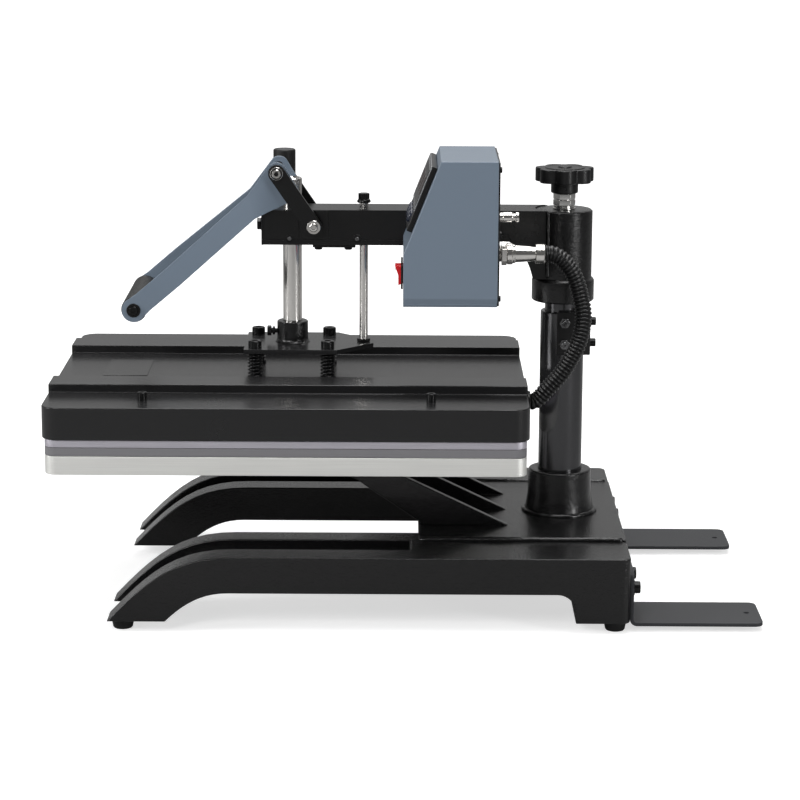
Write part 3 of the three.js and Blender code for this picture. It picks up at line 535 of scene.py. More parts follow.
axisTurns = {
    "Z": Matrix.Identity(4),
    "-Z": Matrix.Rotation(math.pi, 4, "X"),
    "X": Matrix.Rotation(math.pi / 2, 4, "Y"),
    "-X": Matrix.Rotation(-math.pi / 2, 4, "Y"),
    "Y": Matrix.Rotation(-math.pi / 2, 4, "X"),
    "-Y": Matrix.Rotation(math.pi / 2, 4, "X"),
}


def turnPiece(steps, place=(0, 0, 0), axis="Z", sides=48):
    # A turned shape in millimetres: a filled circle carried up through (radius, height) steps
    clearSelection()
    radius, height = steps[0]
    bpy.ops.mesh.primitive_circle_add(vertices=sides, radius=radius / 1000, fill_type="NGON")
    piece = bpy.context.object
    bpy.ops.object.mode_set(mode="EDIT")
    bpy.ops.mesh.select_all(action="SELECT")
    bpy.ops.transform.translate(value=(0, 0, height / 1000))
    for nextRadius, nextHeight in steps[1:]:
        climb = (nextHeight - height) / 1000
        bpy.ops.mesh.extrude_region_move(TRANSFORM_OT_translate={"value": (0, 0, climb)})
        if nextRadius != radius:
            scale = nextRadius / radius
            bpy.ops.transform.resize(value=(scale, scale, 1), center_override=(0, 0, nextHeight / 1000))
        radius, height = nextRadius, nextHeight
    bpy.ops.mesh.select_all(action="SELECT")
    bpy.ops.mesh.normals_make_consistent(inside=False)
    bpy.ops.object.mode_set(mode="OBJECT")
    piece.matrix_world = Matrix.Translation(place) @ axisTurns[axis]
    return piece


def slab(low, high, edge):
    # A flat piece between two corners, its edges rounded
    low, high = Vector(low), Vector(high)
    clearSelection()
    bpy.ops.mesh.primitive_cube_add(size=1, location=(low + high) / 2)
    piece = bpy.context.object
    piece.scale = high - low
    fixPlace(piece)
    softenEdges(piece, edge)
    return piece


def cutWith(piece, cutter):
    pick(piece)
    modifier = piece.modifiers.new("Cut", "BOOLEAN")
    modifier.operation = "DIFFERENCE"
    modifier.solver = "EXACT"
    modifier.object = cutter
    bpy.ops.object.modifier_apply(modifier=modifier.name)
    bpy.data.objects.remove(cutter, do_unlink=True)


rightAndLeft = ((1, "right"), (-1, "left"))
sideAxes = {"right": "X", "left": "-X"}


# Screws, nuts and washers

screwLooks = {"chamferShare": 0.12, "socketShare": 0.56, "socketDepthShare": 0.55, "nutChamfer": 0.5}


def socketScrew(name, place, axis, headRadius, headHeight, body, finish, sides=40):
    # A socket cap head standing on the place, its hexagon socket open along the axis
    chamfer = headRadius * screwLooks["chamferShare"]
    head = turnPiece(
        [(headRadius, 0), (headRadius, headHeight - chamfer), (headRadius - chamfer, headHeight)],
        place, axis, sides,
    )
    bottom = headHeight * (1 - screwLooks["socketDepthShare"])
    socketRadius = headRadius * screwLooks["socketShare"]
    cutter = turnPiece([(socketRadius, bottom), (socketRadius, headHeight + 2)], place, axis, 6)
    cutWith(head, cutter)
    return settle(head, name, finish, body)


def hexPiece(place, axis, radius, height, bore=0.0):
    # A hexagon nut or bolt head with its corners turned off
    piece = turnPiece([(radius, 0), (radius, height)], place, axis, 6)
    fixPlace(piece)
    softenEdges(piece, screwLooks["nutChamfer"] / 1000, 2, 40)
    if bore:
        cutWith(piece, turnPiece([(bore, -1), (bore, height + 1)], place, axis, 24))
    return piece


def washer(place, axis, radius, thickness):
    edge = min(0.3, thickness / 3)
    steps = [(radius - edge, 0), (radius, edge), (radius, thickness - edge), (radius - edge, thickness)]
    return turnPiece(steps, place, axis, 40)


# Stand

standLook = {
    "legEdge": 0.003, "legCorner": 0.009, "beadRadius": 3.6, "beadReach": (141, 362), "beadSink": 0.0012,
    "beadLumps": (0.0012, 0.006), "weldRadius": 3.0, "weldLumps": (0.0016, 0.007), "socketTaper": 4,
    "tubeBore": 19.9, "boreDepth": 30, "clampScrewInset": 0.012, "plateCorner": 0.009, "boltPitch": 28,
    "boltDrop": 0.019, "boltHead": 6.5, "boltHeadHeight": 6, "padInset": 0.014,
}


def makeLegs():
    for node in ("right_leg", "left_leg"):
        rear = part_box(node)[1].y

        def atRearCorner(a, b, rear=rear):
            return agree(a, b, 0, 1) and a.y > rear - 1e-4

        piece = mergedCopy(node)
        roundEdges(piece, atRearCorner, standLook["legCorner"], 5)
        softenEdges(piece, standLook["legEdge"], 3, 30)
        standFor(piece, node, "castPaint", 45)


def roughen(piece, strength, size):
    lumps = bpy.data.textures.new(piece.name + "_lumps", "CLOUDS")
    lumps.noise_scale = size
    applyModifier(piece, "DISPLACE", texture=lumps, strength=strength, mid_level=0.5, texture_coords="LOCAL")


def makeBeads():
    # Rounded weld beads along both edges of the deck, and the fillet round the column's socket
    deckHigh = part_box("base_deck")[1]
    start, end = standLook["beadReach"]
    length = end - start
    radius = standLook["beadRadius"]
    for side, word in rightAndLeft:
        steps = [(radius * 0.3, 0), (radius * 0.8, 1.2), (radius, 3.5)]
        steps += [(radius, length * i / 60) for i in range(2, 60)]
        steps += [(radius * 0.8, length - 1.2), (radius * 0.3, length)]
        place = Vector((side * deckHigh.x, at(0, start, 0).y, deckHigh.z - standLook["beadSink"]))
        piece = turnPiece(steps, place, "Y", 20)
        fixPlace(piece)
        roughen(piece, *standLook["beadLumps"])
        settle(piece, word + "_deck_bead", "castPaint", "base", 60)
    foot, socketRadius, height = upright("column_socket")
    clearSelection()
    bpy.ops.mesh.primitive_torus_add(
        major_radius=socketRadius / 1000 + 0.0004, minor_radius=standLook["weldRadius"] / 1000,
        major_segments=120, minor_segments=14, location=foot + Vector((0, 0, 0.0006)),
    )
    piece = bpy.context.object
    fixPlace(piece)
    roughen(piece, *standLook["weldLumps"])
    settle(piece, "socket_weld", "castPaint", "base", 60)


def makeSocket():
    foot, radius, height = upright("column_socket")
    top = radius - standLook["socketTaper"]
    bore = upright("column_tube")[1] + 0.2
    steps = [(radius, 0), (radius, 1), (radius - 0.9, 4.5), (top + 0.6, height * 0.4), (top, height - 2.4)]
    steps += [(top - 0.7, height - 0.7), (top - 2.4, height)]
    steps += [(bore + 1, height), (bore, height - 0.8), (bore, height - 9)]
    piece = turnPiece(steps, foot, "Z", 96)
    fixPlace(piece)
    standFor(piece, "column_socket", "castPaint", 50)


def makeColumn():
    foot, radius, height = upright("column_tube")
    bore = standLook["tubeBore"]
    steps = [(radius, 0), (radius, height - 0.8), (radius - 0.8, height)]
    steps += [(bore, height), (bore, height - standLook["boreDepth"])]
    standFor(turnPiece(steps, foot, "Z", 96), "column_tube", "columnPaint", 40)
    foot, radius, height = upright("swivel_post")
    standFor(turnPiece([(radius, 0), (radius, height)], foot, "Z", 96), "swivel_post", "columnPaint", 40)


def makeClampScrews():
    # Two set screws with lock nuts in the clamp's right face, and two cap screws in its rear face
    low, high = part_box("column_clamp")
    inset = standLook["clampScrewInset"]
    for i, z in enumerate((low.z + inset, high.z - inset)):
        place = Vector((high.x + 0.0001, middle("column_tube").y + 0.0015, z))
        nut = hexPiece(place, "X", 6.2, 2.6, 3.2)
        settle(nut, f"clamp_lock_nut_{i + 1}", "darkSteel", "base")
        socketScrew(f"clamp_set_screw_{i + 1}", place, "X", 3.1, 4.6, "base", "darkSteel", 24)
        place = Vector(((low.x + high.x) / 2 + 0.006, high.y + 0.0001, z))
        socketScrew(f"clamp_cap_screw_{i + 1}", place, "Y", 4.6, 6.5, "base", "blackOxide", 32)


def makeFeet():
    for node in ("right_front_foot", "right_rear_foot", "left_front_foot", "left_rear_foot"):
        foot, radius, height = upright(node)
        steps = [(radius - 4, 0), (radius - 2.4, 0.5), (radius - 1.4, 1.8), (radius - 0.4, height - 4)]
        steps += [(radius, height - 3), (radius, height)]
        standFor(turnPiece(steps, foot, "Z", 48), node, "blackRubber", 40)


def makeStabilizers():
    for side, word in rightAndLeft:
        node = word + "_stabilizer"
        low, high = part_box(node)
        piece = mergedCopy(node)

        def atFreeCorner(a, b, high=high):
            # The corners behind the lying plate, and those on top of the standing one
            lying = agree(a, b, 0, 1) and a.y > high.y - 1e-4
            standing = agree(a, b, 0, 2) and a.z > high.z - 1e-4
            return lying or standing

        roundEdges(piece, atFreeCorner, standLook["plateCorner"], 5)
        softenEdges(piece, 0.0006, 2, 40)
        standFor(piece, node, "platePaint", 40)
        centreX = (low.x + high.x) / 2
        for i, offset in enumerate((-1, 1)):
            x = centreX + offset * standLook["boltPitch"] / 1000
            place = Vector((x, low.y + 0.0041, high.z - standLook["boltDrop"]))
            ring = washer(place, "Y", 8.2, 1.2)
            settle(ring, f"{word}_plate_washer_{i + 1}", "blackOxide", "base")
            socketScrew(
                f"{word}_plate_bolt_{i + 1}", place + Vector((0, 0.0012, 0)), "Y", standLook["boltHead"],
                standLook["boltHeadHeight"], "base", "blackOxide",
            )
        steps = [(5.0, 0), (6.6, 0.6), (7, 1.6), (7, low.z * 1000)]
        pad = turnPiece(steps, (centreX, high.y - standLook["padInset"], 0.0), "Z", 36)
        settle(pad, word + "_plate_pad", "blackRubber", "base")


def makeStand():
    makeLegs()
    softCopy("base_deck", "castPaint", 0.0016)
    for node in ("right_fin", "left_fin", "middle_fin"):
        softCopy(node, "castPaint", 0.0009)
    makeBeads()
    makeSocket()
    makeColumn()
    softCopy("column_clamp", "powderBlack", 0.001)
    makeClampScrews()
    makeFeet()
    makeStabilizers()
    print("stand ready")


makeStand()

# Platens

coverLook = {
    "edge": 0.0028, "screwX": 166, "screwY": 153, "screwRadius": 5, "screwHeight": 9, "flushHeight": 1.6,
    "screwDepth": 0.0095, "plateX": (-46, 41), "plateY": (-208, -159), "springTurns": 6.5, "wire": 1.15,
    "stemRadius": 3.9, "springStroke": 0.003, "hangerHeadHeight": 8,
}


hangerCorners = ("front_right", "rear_right", "front_left", "rear_left")


def makeSprings():
    for corner in hangerCorners:
        node = corner + "_spring"
        foot, radius, height = upright(node)
        wire = coverLook["wire"] / 1000
        coil = radius / 1000 - wire
        turns = coverLook["springTurns"]
        climb = height / 1000 - 2 * wire
        clearSelection()
        bpy.ops.mesh.primitive_circle_add(
            vertices=10, radius=wire, location=(coil, 0, 0), rotation=(math.pi / 2, 0, 0),
        )
        piece = bpy.context.object
        fixPlace(piece)
        applyModifier(
            piece, "SCREW", axis="Z", angle=2 * math.pi * turns, screw_offset=climb, iterations=1,
            steps=int(28 * turns), render_steps=int(28 * turns), use_smooth_shade=True,
        )
        pick(piece)
        bpy.ops.object.mode_set(mode="EDIT")
        bpy.ops.mesh.select_all(action="SELECT")
        bpy.ops.mesh.fill_holes(sides=12)
        bpy.ops.mesh.select_all(action="SELECT")
        bpy.ops.mesh.normals_make_consistent(inside=False)
        bpy.ops.object.mode_set(mode="OBJECT")
        piece.matrix_world = Matrix.Translation(foot + Vector((0, 0, wire)))
        stem = turnPiece([(coverLook["stemRadius"], 0), (coverLook["stemRadius"], height)], foot, "Z", 24)
        cup = turnPiece([(8.4, 0), (8.4, 1.2), (8.0, 1.6), (4.2, 1.6)], foot, "Z", 36)
        settle(stem, node + "_stem", "blackOxide", "upper_platen")
        settle(cup, node + "_washer", "blackOxide", "upper_platen")
        standFor(piece, node, "blackOxide", 60)
        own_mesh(piece)


def makeCoverPieces():
    softCopy("platen_cover", "coverPaint", coverLook["edge"], 3, 30)
    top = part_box("platen_cover")[1].z - coverLook["screwDepth"]
    for side, word in rightAndLeft:
        # The pair on the operator's left stands almost flush
        height = coverLook["screwHeight"] if side > 0 else coverLook["flushHeight"]
        for end, name in ((-1, "front"), (1, "rear")):
            place = at(side * coverLook["screwX"], end * coverLook["screwY"], 0)
            place.z = top
            socketScrew(
                f"{word}_{name}_cover_screw", place, "Z", coverLook["screwRadius"], height,
                "upper_platen", "blackOxide",
            )
    plateLow = at(coverLook["plateX"][0], coverLook["plateY"][0], 0)
    plateHigh = at(coverLook["plateX"][1], coverLook["plateY"][1], 0)
    plateLow.z, plateHigh.z = top - 0.001, top + 0.0009
    settle(slab(plateLow, plateHigh, 0.0007), "blank_data_plate", "blankPlate", "upper_platen")


def makeHangerBolts():
    headHeight = coverLook["hangerHeadHeight"]
    for corner in hangerCorners:
        node = corner + "_hanger_bolt"
        foot, radius, height = upright(node)
        place = foot + Vector((0, 0, (height - headHeight) / 1000))
        head = socketScrew(
            node + "_finished", place, "Z", radius, headHeight, bodyOf[node], "blackOxide",
        )
        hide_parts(node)


def makePlatens():
    softCopy("lower_platen", "brushedPlate", 0.0008)
    softCopy("silicone_pad", "siliconeSponge", 0.0006)
    softCopy("heat_plate", "lilacPlate", 0.0006)
    makeCoverPieces()
    makeHangerBolts()
    makeSprings()
    print("platens ready")


makePlatens()

# Carriage

carriageLook = {
    "capAbovePin": 1.5, "screwHeight": 0.0115, "rodNut": 7.4, "rodNutHeight": 3.4, "stopHead": 6.3,
    "stopFlange": 3.8, "pinRadius": 5,
}


def makeShaft():
    foot, radius, height = upright("lift_shaft")
    capBase = (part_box("wrist_pin")[1].z - foot.z) * 1000 + carriageLook["capAbovePin"]
    bar = turnPiece([(radius, 0), (radius, capBase)], foot, "Z", 72)
    standFor(bar, "lift_shaft", "brightSteel", 40)
    capHeight = height - capBase
    steps = [(radius + 0.3, 0), (radius + 0.3, capHeight - 1.2), (radius - 0.9, capHeight)]
    steps += [(radius - 2.8, capHeight), (radius - 3.4, capHeight - 0.8)]
    cap = turnPiece(steps, foot + Vector((0, 0, capBase / 1000)), "Z", 72)
    settle(cap, "shaft_cap", "brightSteel", "carriage", 40)


def makeCollar():
    foot, radius, height = upright("shaft_collar")
    shaft = upright("lift_shaft")[1]
    steps = [(radius + 2.4, 0), (radius + 1.2, 0.9), (radius + 0.2, 2.4), (radius, 4)]
    steps += [(radius, height - 1), (radius - 1, height), (shaft + 0.6, height), (shaft + 0.2, height - 2)]
    standFor(turnPiece(steps, foot, "Z", 72), "shaft_collar", "castPaint", 50)
    # The collar's thumb screw points at the operator
    place = foot + Vector((0, 0.001 - radius / 1000, carriageLook["screwHeight"]))
    steps = [(2.6, 0), (2.6, 3.4), (4.4, 3.4), (4.8, 4), (4.8, 6), (3, 6), (3, 7.4)]
    steps += [(5.4, 7.4), (5.8, 8), (5.8, 11.2), (5.2, 12)]
    screw = turnPiece(steps, place, "-Y", 10)
    settle(screw, "collar_thumb_screw", "blackOxide", "carriage", 25)


def makeGuideRod():
    foot, radius, height = upright("guide_rod")
    standFor(turnPiece([(radius, 0), (radius, height)], foot, "Z", 48), "guide_rod", "brightSteel", 40)
    place = foot - Vector((0, 0, 0.0002))
    nut = hexPiece(place, "Z", carriageLook["rodNut"], carriageLook["rodNutHeight"], radius)
    settle(nut, "guide_rod_nut", "blackOxide", "carriage")
    low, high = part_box("rod_stop")
    place = Vector((foot.x, foot.y, low.z))
    flange = turnPiece([(6.6, 0), (7.5, 0.6), (7.5, 2.2), (6.6, 3.6), (5.4, 4.2)], place, "Z", 40)
    rise = carriageLook["stopFlange"]
    place = place + Vector((0, 0, rise / 1000))
    head = hexPiece(place, "Z", carriageLook["stopHead"], (high.z - low.z) * 1000 - rise)
    standFor(joinPieces(flange, head), "rod_stop", "blackOxide", 35)


def makeWristPin():
    low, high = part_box("wrist_pin")
    centre = middle("wrist_pin")
    length = (high.x - low.x) * 1000
    radius = carriageLook["pinRadius"]
    steps = [(radius - 0.8, 0), (radius, 0.8), (radius, length - 0.8), (radius - 0.8, length)]
    pin = turnPiece(steps, (low.x, centre.y, centre.z), "X", 36)
    standFor(pin, "wrist_pin", "brightSteel", 40)


def makeCarriage():
    softCopy("hanger_plate", "coverPaint", 0.0008)
    makeShaft()
    makeCollar()
    makeGuideRod()
    makeWristPin()
    print("carriage ready")


makeCarriage()

# Arm and hub

armLook = {
    "edge": 0.0012, "halfWidth": 25, "overlap": 0.6, "underside": 385.5, "lipHeight": 5.5, "lipProud": 0.9,
    "lipReach": (-31, 164), "tabs": (-2, 72, 150), "tabRadius": 4.6, "tabHeight": 0.0072, "screwRadius": 2.3,
    "cheeks": ((-31, 8), (9.4, 41)), "cheekProud": 0.7, "cheekFoot": 0.0062,
    "endHalf": 0.0256, "endBoltHeight": 0.0195, "underBolts": (0.13, 0.83), "underBoltX": 0.009,
}


def armUnderside():
    return at(0, 0, armLook["underside"]).z


def armSidePlate(side, reach, proud, bottom, top, edge):
    # A thin plate on one side of the arm, standing proud of it by so many millimetres
    inner = armLook["halfWidth"] - armLook["overlap"]
    near, far = sorted((side * inner, side * (armLook["halfWidth"] + proud)))
    front, rear = (at(0, along, 0).y for along in reach)
    return slab((near / 1000, front, bottom), (far / 1000, rear, top), edge)


def makeArmSides():
    # On each side two cheek plates round the pivot, and the bottom cover's folded lip with its screws
    half = armLook["halfWidth"]
    proud = armLook["lipProud"]
    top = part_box("arm_beam")[1].z - 0.0005
    bottom = armUnderside()
    for side, word in rightAndLeft:
        axis = sideAxes[word]
        for i, reach in enumerate(armLook["cheeks"]):
            cheekFoot = bottom + armLook["cheekFoot"]
            piece = armSidePlate(side, reach, armLook["cheekProud"], cheekFoot, top, 0.0005)
            settle(piece, f"{word}_arm_cheek_{i + 1}", "powderBlack", "swing_arm")
        lipTop = bottom + armLook["lipHeight"] / 1000
        lip = armSidePlate(side, armLook["lipReach"], proud, bottom + 0.0002, lipTop, 0.0004)
        for i, along in enumerate(armLook["tabs"]):
            place = at(0, along, 0)
            place.x = side * (half - armLook["overlap"]) / 1000
            place.z = bottom + armLook["tabHeight"]
            tab = washer(place, axis, armLook["tabRadius"], proud + armLook["overlap"])
            lip = joinPieces(lip, tab)
            place.x = side * (half + proud) / 1000
            socketScrew(
                f"{word}_arm_screw_{i + 1}", place, axis, armLook["screwRadius"], 1.6,
                "swing_arm", "darkSteel", 24,
            )
        settle(lip, word + "_arm_cover_lip", "powderBlack", "swing_arm")


def makeArmEnd():
    # The front end's plate and the bolt that holds it
    low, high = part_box("arm_beam")
    half = armLook["endHalf"]
    front = low.y
    plateLow = (-half, front - 0.0006, armUnderside() - 0.0004)
    plate = slab(plateLow, (half, front + 0.0015, high.z + 0.0002), 0.0006)
    settle(plate, "arm_end_plate", "powderBlack", "swing_arm")
    place = Vector((0, front - 0.0006, armUnderside() + armLook["endBoltHeight"]))
    settle(washer(place, "-Y", 7.4, 1.5), "arm_end_washer", "blackOxide", "swing_arm")
    head = hexPiece(place + Vector((0, -0.0015, 0)), "-Y", 6.6, 4.2)
    settle(head, "arm_end_bolt", "blackOxide", "swing_arm")


def makeUnderPlate():
    # The plate under the arm and the four bolts that hold it
    softCopy("under_plate", "powderBlack", 0.0006)
    low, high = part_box("under_plate")
    for i, along in enumerate(armLook["underBolts"]):
        y = low.y + (high.y - low.y) * along
        for side, number in ((1, i + 1), (-1, i + 3)):
            head = hexPiece(Vector((side * armLook["underBoltX"], y, low.z)), "-Z", 4.4, 3)
            settle(head, f"under_plate_bolt_{number}", "blackOxide", "swing_arm")


def makeArm():
    softCopy("arm_beam", "powderBlack", armLook["edge"], 2, 30)
    makeArmSides()
    makeArmEnd()
    makeUnderPlate()


hubLook = {
    "collarProud": 3, "collarHeight": 22.5, "bore": 9, "weldX": 0.0256, "weldRadius": 2.4, "weldHeight": 74,
    "weldFoot": 350, "weldLumps": (0.0012, 0.005),
}


def makeHub():
    foot, collar, height = upright("arm_hub")
    radius = collar - hubLook["collarProud"]
    ring = hubLook["collarHeight"]
    bore = hubLook["bore"]
    steps = [(collar - 1.5, 0), (collar, 1.5), (collar, ring), (collar - 1.2, ring + 2.1)]
    steps += [(radius + 0.5, ring + 2.9), (radius, ring + 4.5), (radius, height - 1.8)]
    steps += [(radius - 1.8, height), (bore, height), (bore - 0.8, height - 1)]
    standFor(turnPiece(steps, foot, "Z", 96), "arm_hub", "castPaint", 50)
    # Weld beads where the arm's sides meet the hub
    bead = hubLook["weldRadius"]
    steps = [(bead / 2, 0), (bead, 1.5)] + [(bead, 1.5 + i * 1.5) for i in range(1, 48)]
    steps.append((bead / 2, hubLook["weldHeight"]))
    for side, word in rightAndLeft:
        x = side * hubLook["weldX"]
        y = foot.y - math.sqrt((radius / 1000) ** 2 - x * x) - 0.0004
        piece = turnPiece(steps, (x, y, at(0, 0, hubLook["weldFoot"]).z), "Z", 16)
        fixPlace(piece)
        roughen(piece, *hubLook["weldLumps"])
        settle(piece, word + "_hub_weld", "castPaint", "swing_arm", 60)


nutLook = {
    "radius": 12.4, "height": 6.2, "bore": 7.9, "sleeve": 8.9, "sleeveHeight": 17, "places": (4.1, 10.8),
}


def makeJamNuts():
    # Two washers, a threaded sleeve and two jam nuts round the knob's stud
    foot = upright("jam_nut")[0]
    bore = nutLook["bore"]
    sleeve = nutLook["sleeve"]

    def above(height):
        return foot + Vector((0, 0, height / 1000))

    sleevePiece = turnPiece([(sleeve, 0), (sleeve, nutLook["sleeveHeight"])], above(0.2), "Z", 48)
    pieces = [washer(above(0), "Z", 12.6, 1.6), washer(above(1.8), "Z", 11.4, 2.0), sleevePiece]
    pieces += [hexPiece(above(z), "Z", nutLook["radius"], nutLook["height"], bore) for z in nutLook["places"]]
    cutWith(sleevePiece, turnPiece([(bore, -1), (bore, 20)], above(0), "Z", 32))
    standFor(joinPieces(*pieces), "jam_nut", "zincNut", 35)


knobLook = {"edge": 0.0018, "capRadius": 22, "pinX": 0.0148, "pinDrop": 0.0222}


def makeKnob():
    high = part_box("pressure_knob")[1]
    centre = middle("pressure_knob")
    softCopy("pressure_knob", "mouldedBlack", knobLook["edge"], 3, 42, 50)
    # A cap plug in the top's shallow dish, and the pin hole in the neck
    cap = knobLook["capRadius"]
    steps = [(cap, 0), (cap, 0.5), (cap - 1, 0.9), (cap - 2.4, 0.9), (cap - 3, 0.4)]
    steps += [(8, 0.4), (7.4, 1.4), (6.6, 1.8)]
    plug = turnPiece(steps, (centre.x, centre.y, high.z), "Z", 72)
    settle(plug, "knob_cap", "mouldedBlack", "pressure_knob", 40)
    place = Vector((centre.x + knobLook["pinX"], centre.y, high.z - knobLook["pinDrop"]))
    pin = turnPiece([(2.2, 0), (2.2, 0.5), (1.5, 0.5), (1.2, 0.1)], place, "X", 24)
    settle(pin, "knob_pin", "displayDark", "pressure_knob")


gripLook = {
    "swingGrooves": 7, "swingPlain": 30, "swingDepth": 0.6, "grooves": 15, "plainEnd": 6, "depth": 0.7,
}


def makeSwingGrip():
    foot, radius, height = upright("swing_grip")
    inner = radius - gripLook["swingDepth"]
    grooves = gripLook["swingGrooves"]
    steps = [(radius - 1.5, 0), (radius, 1.5), (radius, 4)]
    for i in range(1, grooves + 1):
        base = 4 + (height - gripLook["swingPlain"]) * i / (grooves + 1)
        steps += [(radius, base), (inner, base + 0.5), (inner, base + 1.3), (radius, base + 1.8)]
    steps += [(radius, height - 1.6), (radius - 0.5, height - 0.5), (radius - 1.5, height)]
    steps += [(radius - 2.4, height), (radius - 2.8, height - 0.5)]
    standFor(turnPiece(steps, foot, "Z", 48), "swing_grip", "blackRubber", 40)
    top = foot + Vector((0, 0, height / 1000 - 0.0008))
    plug = turnPiece([(radius - 3.2, 0), (radius - 3.2, 0.5), (radius - 3.8, 0.8)], top, "Z", 48)
    settle(plug, "swing_grip_plug", "platePaint", "swing_arm")


toggleLook = {"pinRadius": 5, "pinReach": 38.3, "spacerX": 0.0254, "studPlace": (0, -15.6, 465.7)}


def makeTogglePin():
    # The bar through the arm with a washer and a socket head at each end, and the spacers inside the links
    centre = middle("toggle_pin")
    radius = toggleLook["pinRadius"]
    reach = toggleLook["pinReach"]
    pieces = [turnPiece([(radius, 0), (radius, 2 * reach)], (-reach / 1000, centre.y, centre.z), "X", 32)]
    spacers = []
    for side, word in rightAndLeft:
        axis = sideAxes[word]
        place = Vector((side * reach / 1000, centre.y, centre.z))
        steps = [(7.0, 0), (7.6, 0.4), (7.6, 1.2), (7.2, 1.6), (6.0, 1.6), (5.8, 1.0)]
        pieces.append(turnPiece(steps, place, axis, 40))
        headPlace = place + Vector((side * 0.0008, 0, 0))
        head = turnPiece([(4.9, 0), (4.9, 1.4), (4.5, 2.4), (3.6, 3.0)], headPlace, axis, 40)
        cutWith(head, turnPiece([(2.5, 1.0), (2.5, 5)], headPlace, axis, 6))
        pieces.append(head)
        spacerPlace = (side * toggleLook["spacerX"], centre.y, centre.z)
        spacers.append(turnPiece([(7.6, 0), (7.6, 7.2)], spacerPlace, axis, 40))
    standFor(joinPieces(*pieces), "toggle_pin", "brightSteel", 35)
    settle(joinPieces(*spacers), "toggle_spacers", "blackOxide", "swing_arm")


def makeToggle():
    makeTogglePin()
    for side, word in rightAndLeft:
        softCopy(word + "_link", "powderBlack", 0.0007)
        low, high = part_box(word + "_link")
        outer = high.x if side > 0 else low.x
        place = at(*toggleLook["studPlace"])
        place.x = outer - side * 0.0030
        ring = washer(place, sideAxes[word], 7.2, 1.6)
        settle(ring, word + "_stud_washer", "zincNut", "toggle_link")
        place.x = outer - side * 0.0014
        socketScrew(
            word + "_stud_screw", place, sideAxes[word], 5.0, 3.0, "toggle_link", "brightSteel", 36,
        )


def makeHandle():
    low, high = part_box("handle_grip")
    centre = middle("handle_grip")
    for side, word in rightAndLeft:
        node = word + "_handle_plate"
        axis = sideAxes[word]
        softCopy(node, "slateBlue", 0.0008)
        plateLow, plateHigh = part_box(node)
        place = Vector((plateHigh.x if side > 0 else plateLow.x, centre.y, centre.z))
        settle(washer(place, axis, 7.6, 1.0), word + "_grip_washer", "blackOxide", "handle")
        place = place + Vector((side * 0.001, 0, 0))
        socketScrew(word + "_grip_screw", place, axis, 5.0, 3.0, "handle", "blackOxide", 36)
    radius = (high.z - low.z) * 500
    inner = radius - gripLook["depth"]
    length = (high.x - low.x) * 1000
    end = gripLook["plainEnd"]
    grooves = gripLook["grooves"]
    steps = [(radius - 1, 0), (radius, 1), (radius, end)]
    for i in range(1, grooves + 1):
        base = end + (length - 2 * end) * i / (grooves + 1)
        steps += [(radius, base - 1), (inner, base - 0.4), (inner, base + 0.4), (radius, base + 1)]
    steps += [(radius, length - end), (radius, length - 1), (radius - 1, length)]
    grip = turnPiece(steps, (low.x, centre.y, centre.z), "X", 56)
    standFor(grip, "handle_grip", "blackRubber", 35)
    softCopy("handle_tie_bar", "powderBlack", 0.0006)


def makeArmGroup():
    makeArm()
    makeHub()
    makeJamNuts()
    makeKnob()
    makeSwingGrip()
    makeToggle()
    makeHandle()
    # The shaft's bush keeps its own mesh and only takes the finish
    nodes["shaft_guide"].data.materials.clear()
    nodes["shaft_guide"].data.materials.append(materials["brightSteel"])
    print("arm, hub, toggle and handle ready")


makeArmGroup()

# Controller

caseLook = {
    "edge": 0.0016, "band": 9.5, "bandIn": 3.2, "rearPlate": 1.7, "screwInset": 0.009,
    "rightScrewInset": 0.006,
    "slantRun": 39, "slantRise": 98.5, "slantFoot": (0, 122.6, 397),
}


def slantMatrix():
    # Flat drawing (X across, Y up the slanted front, Z outwards) to its place on the case
    across = Vector((1, 0, 0))
    upward = Vector((0, caseLook["slantRun"], caseLook["slantRise"])).normalized()
    outward = Vector((0, -caseLook["slantRise"], caseLook["slantRun"])).normalized()
    turn = Matrix((across, upward, outward)).transposed().to_4x4()
    return Matrix.Translation(at(*caseLook["slantFoot"])) @ turn


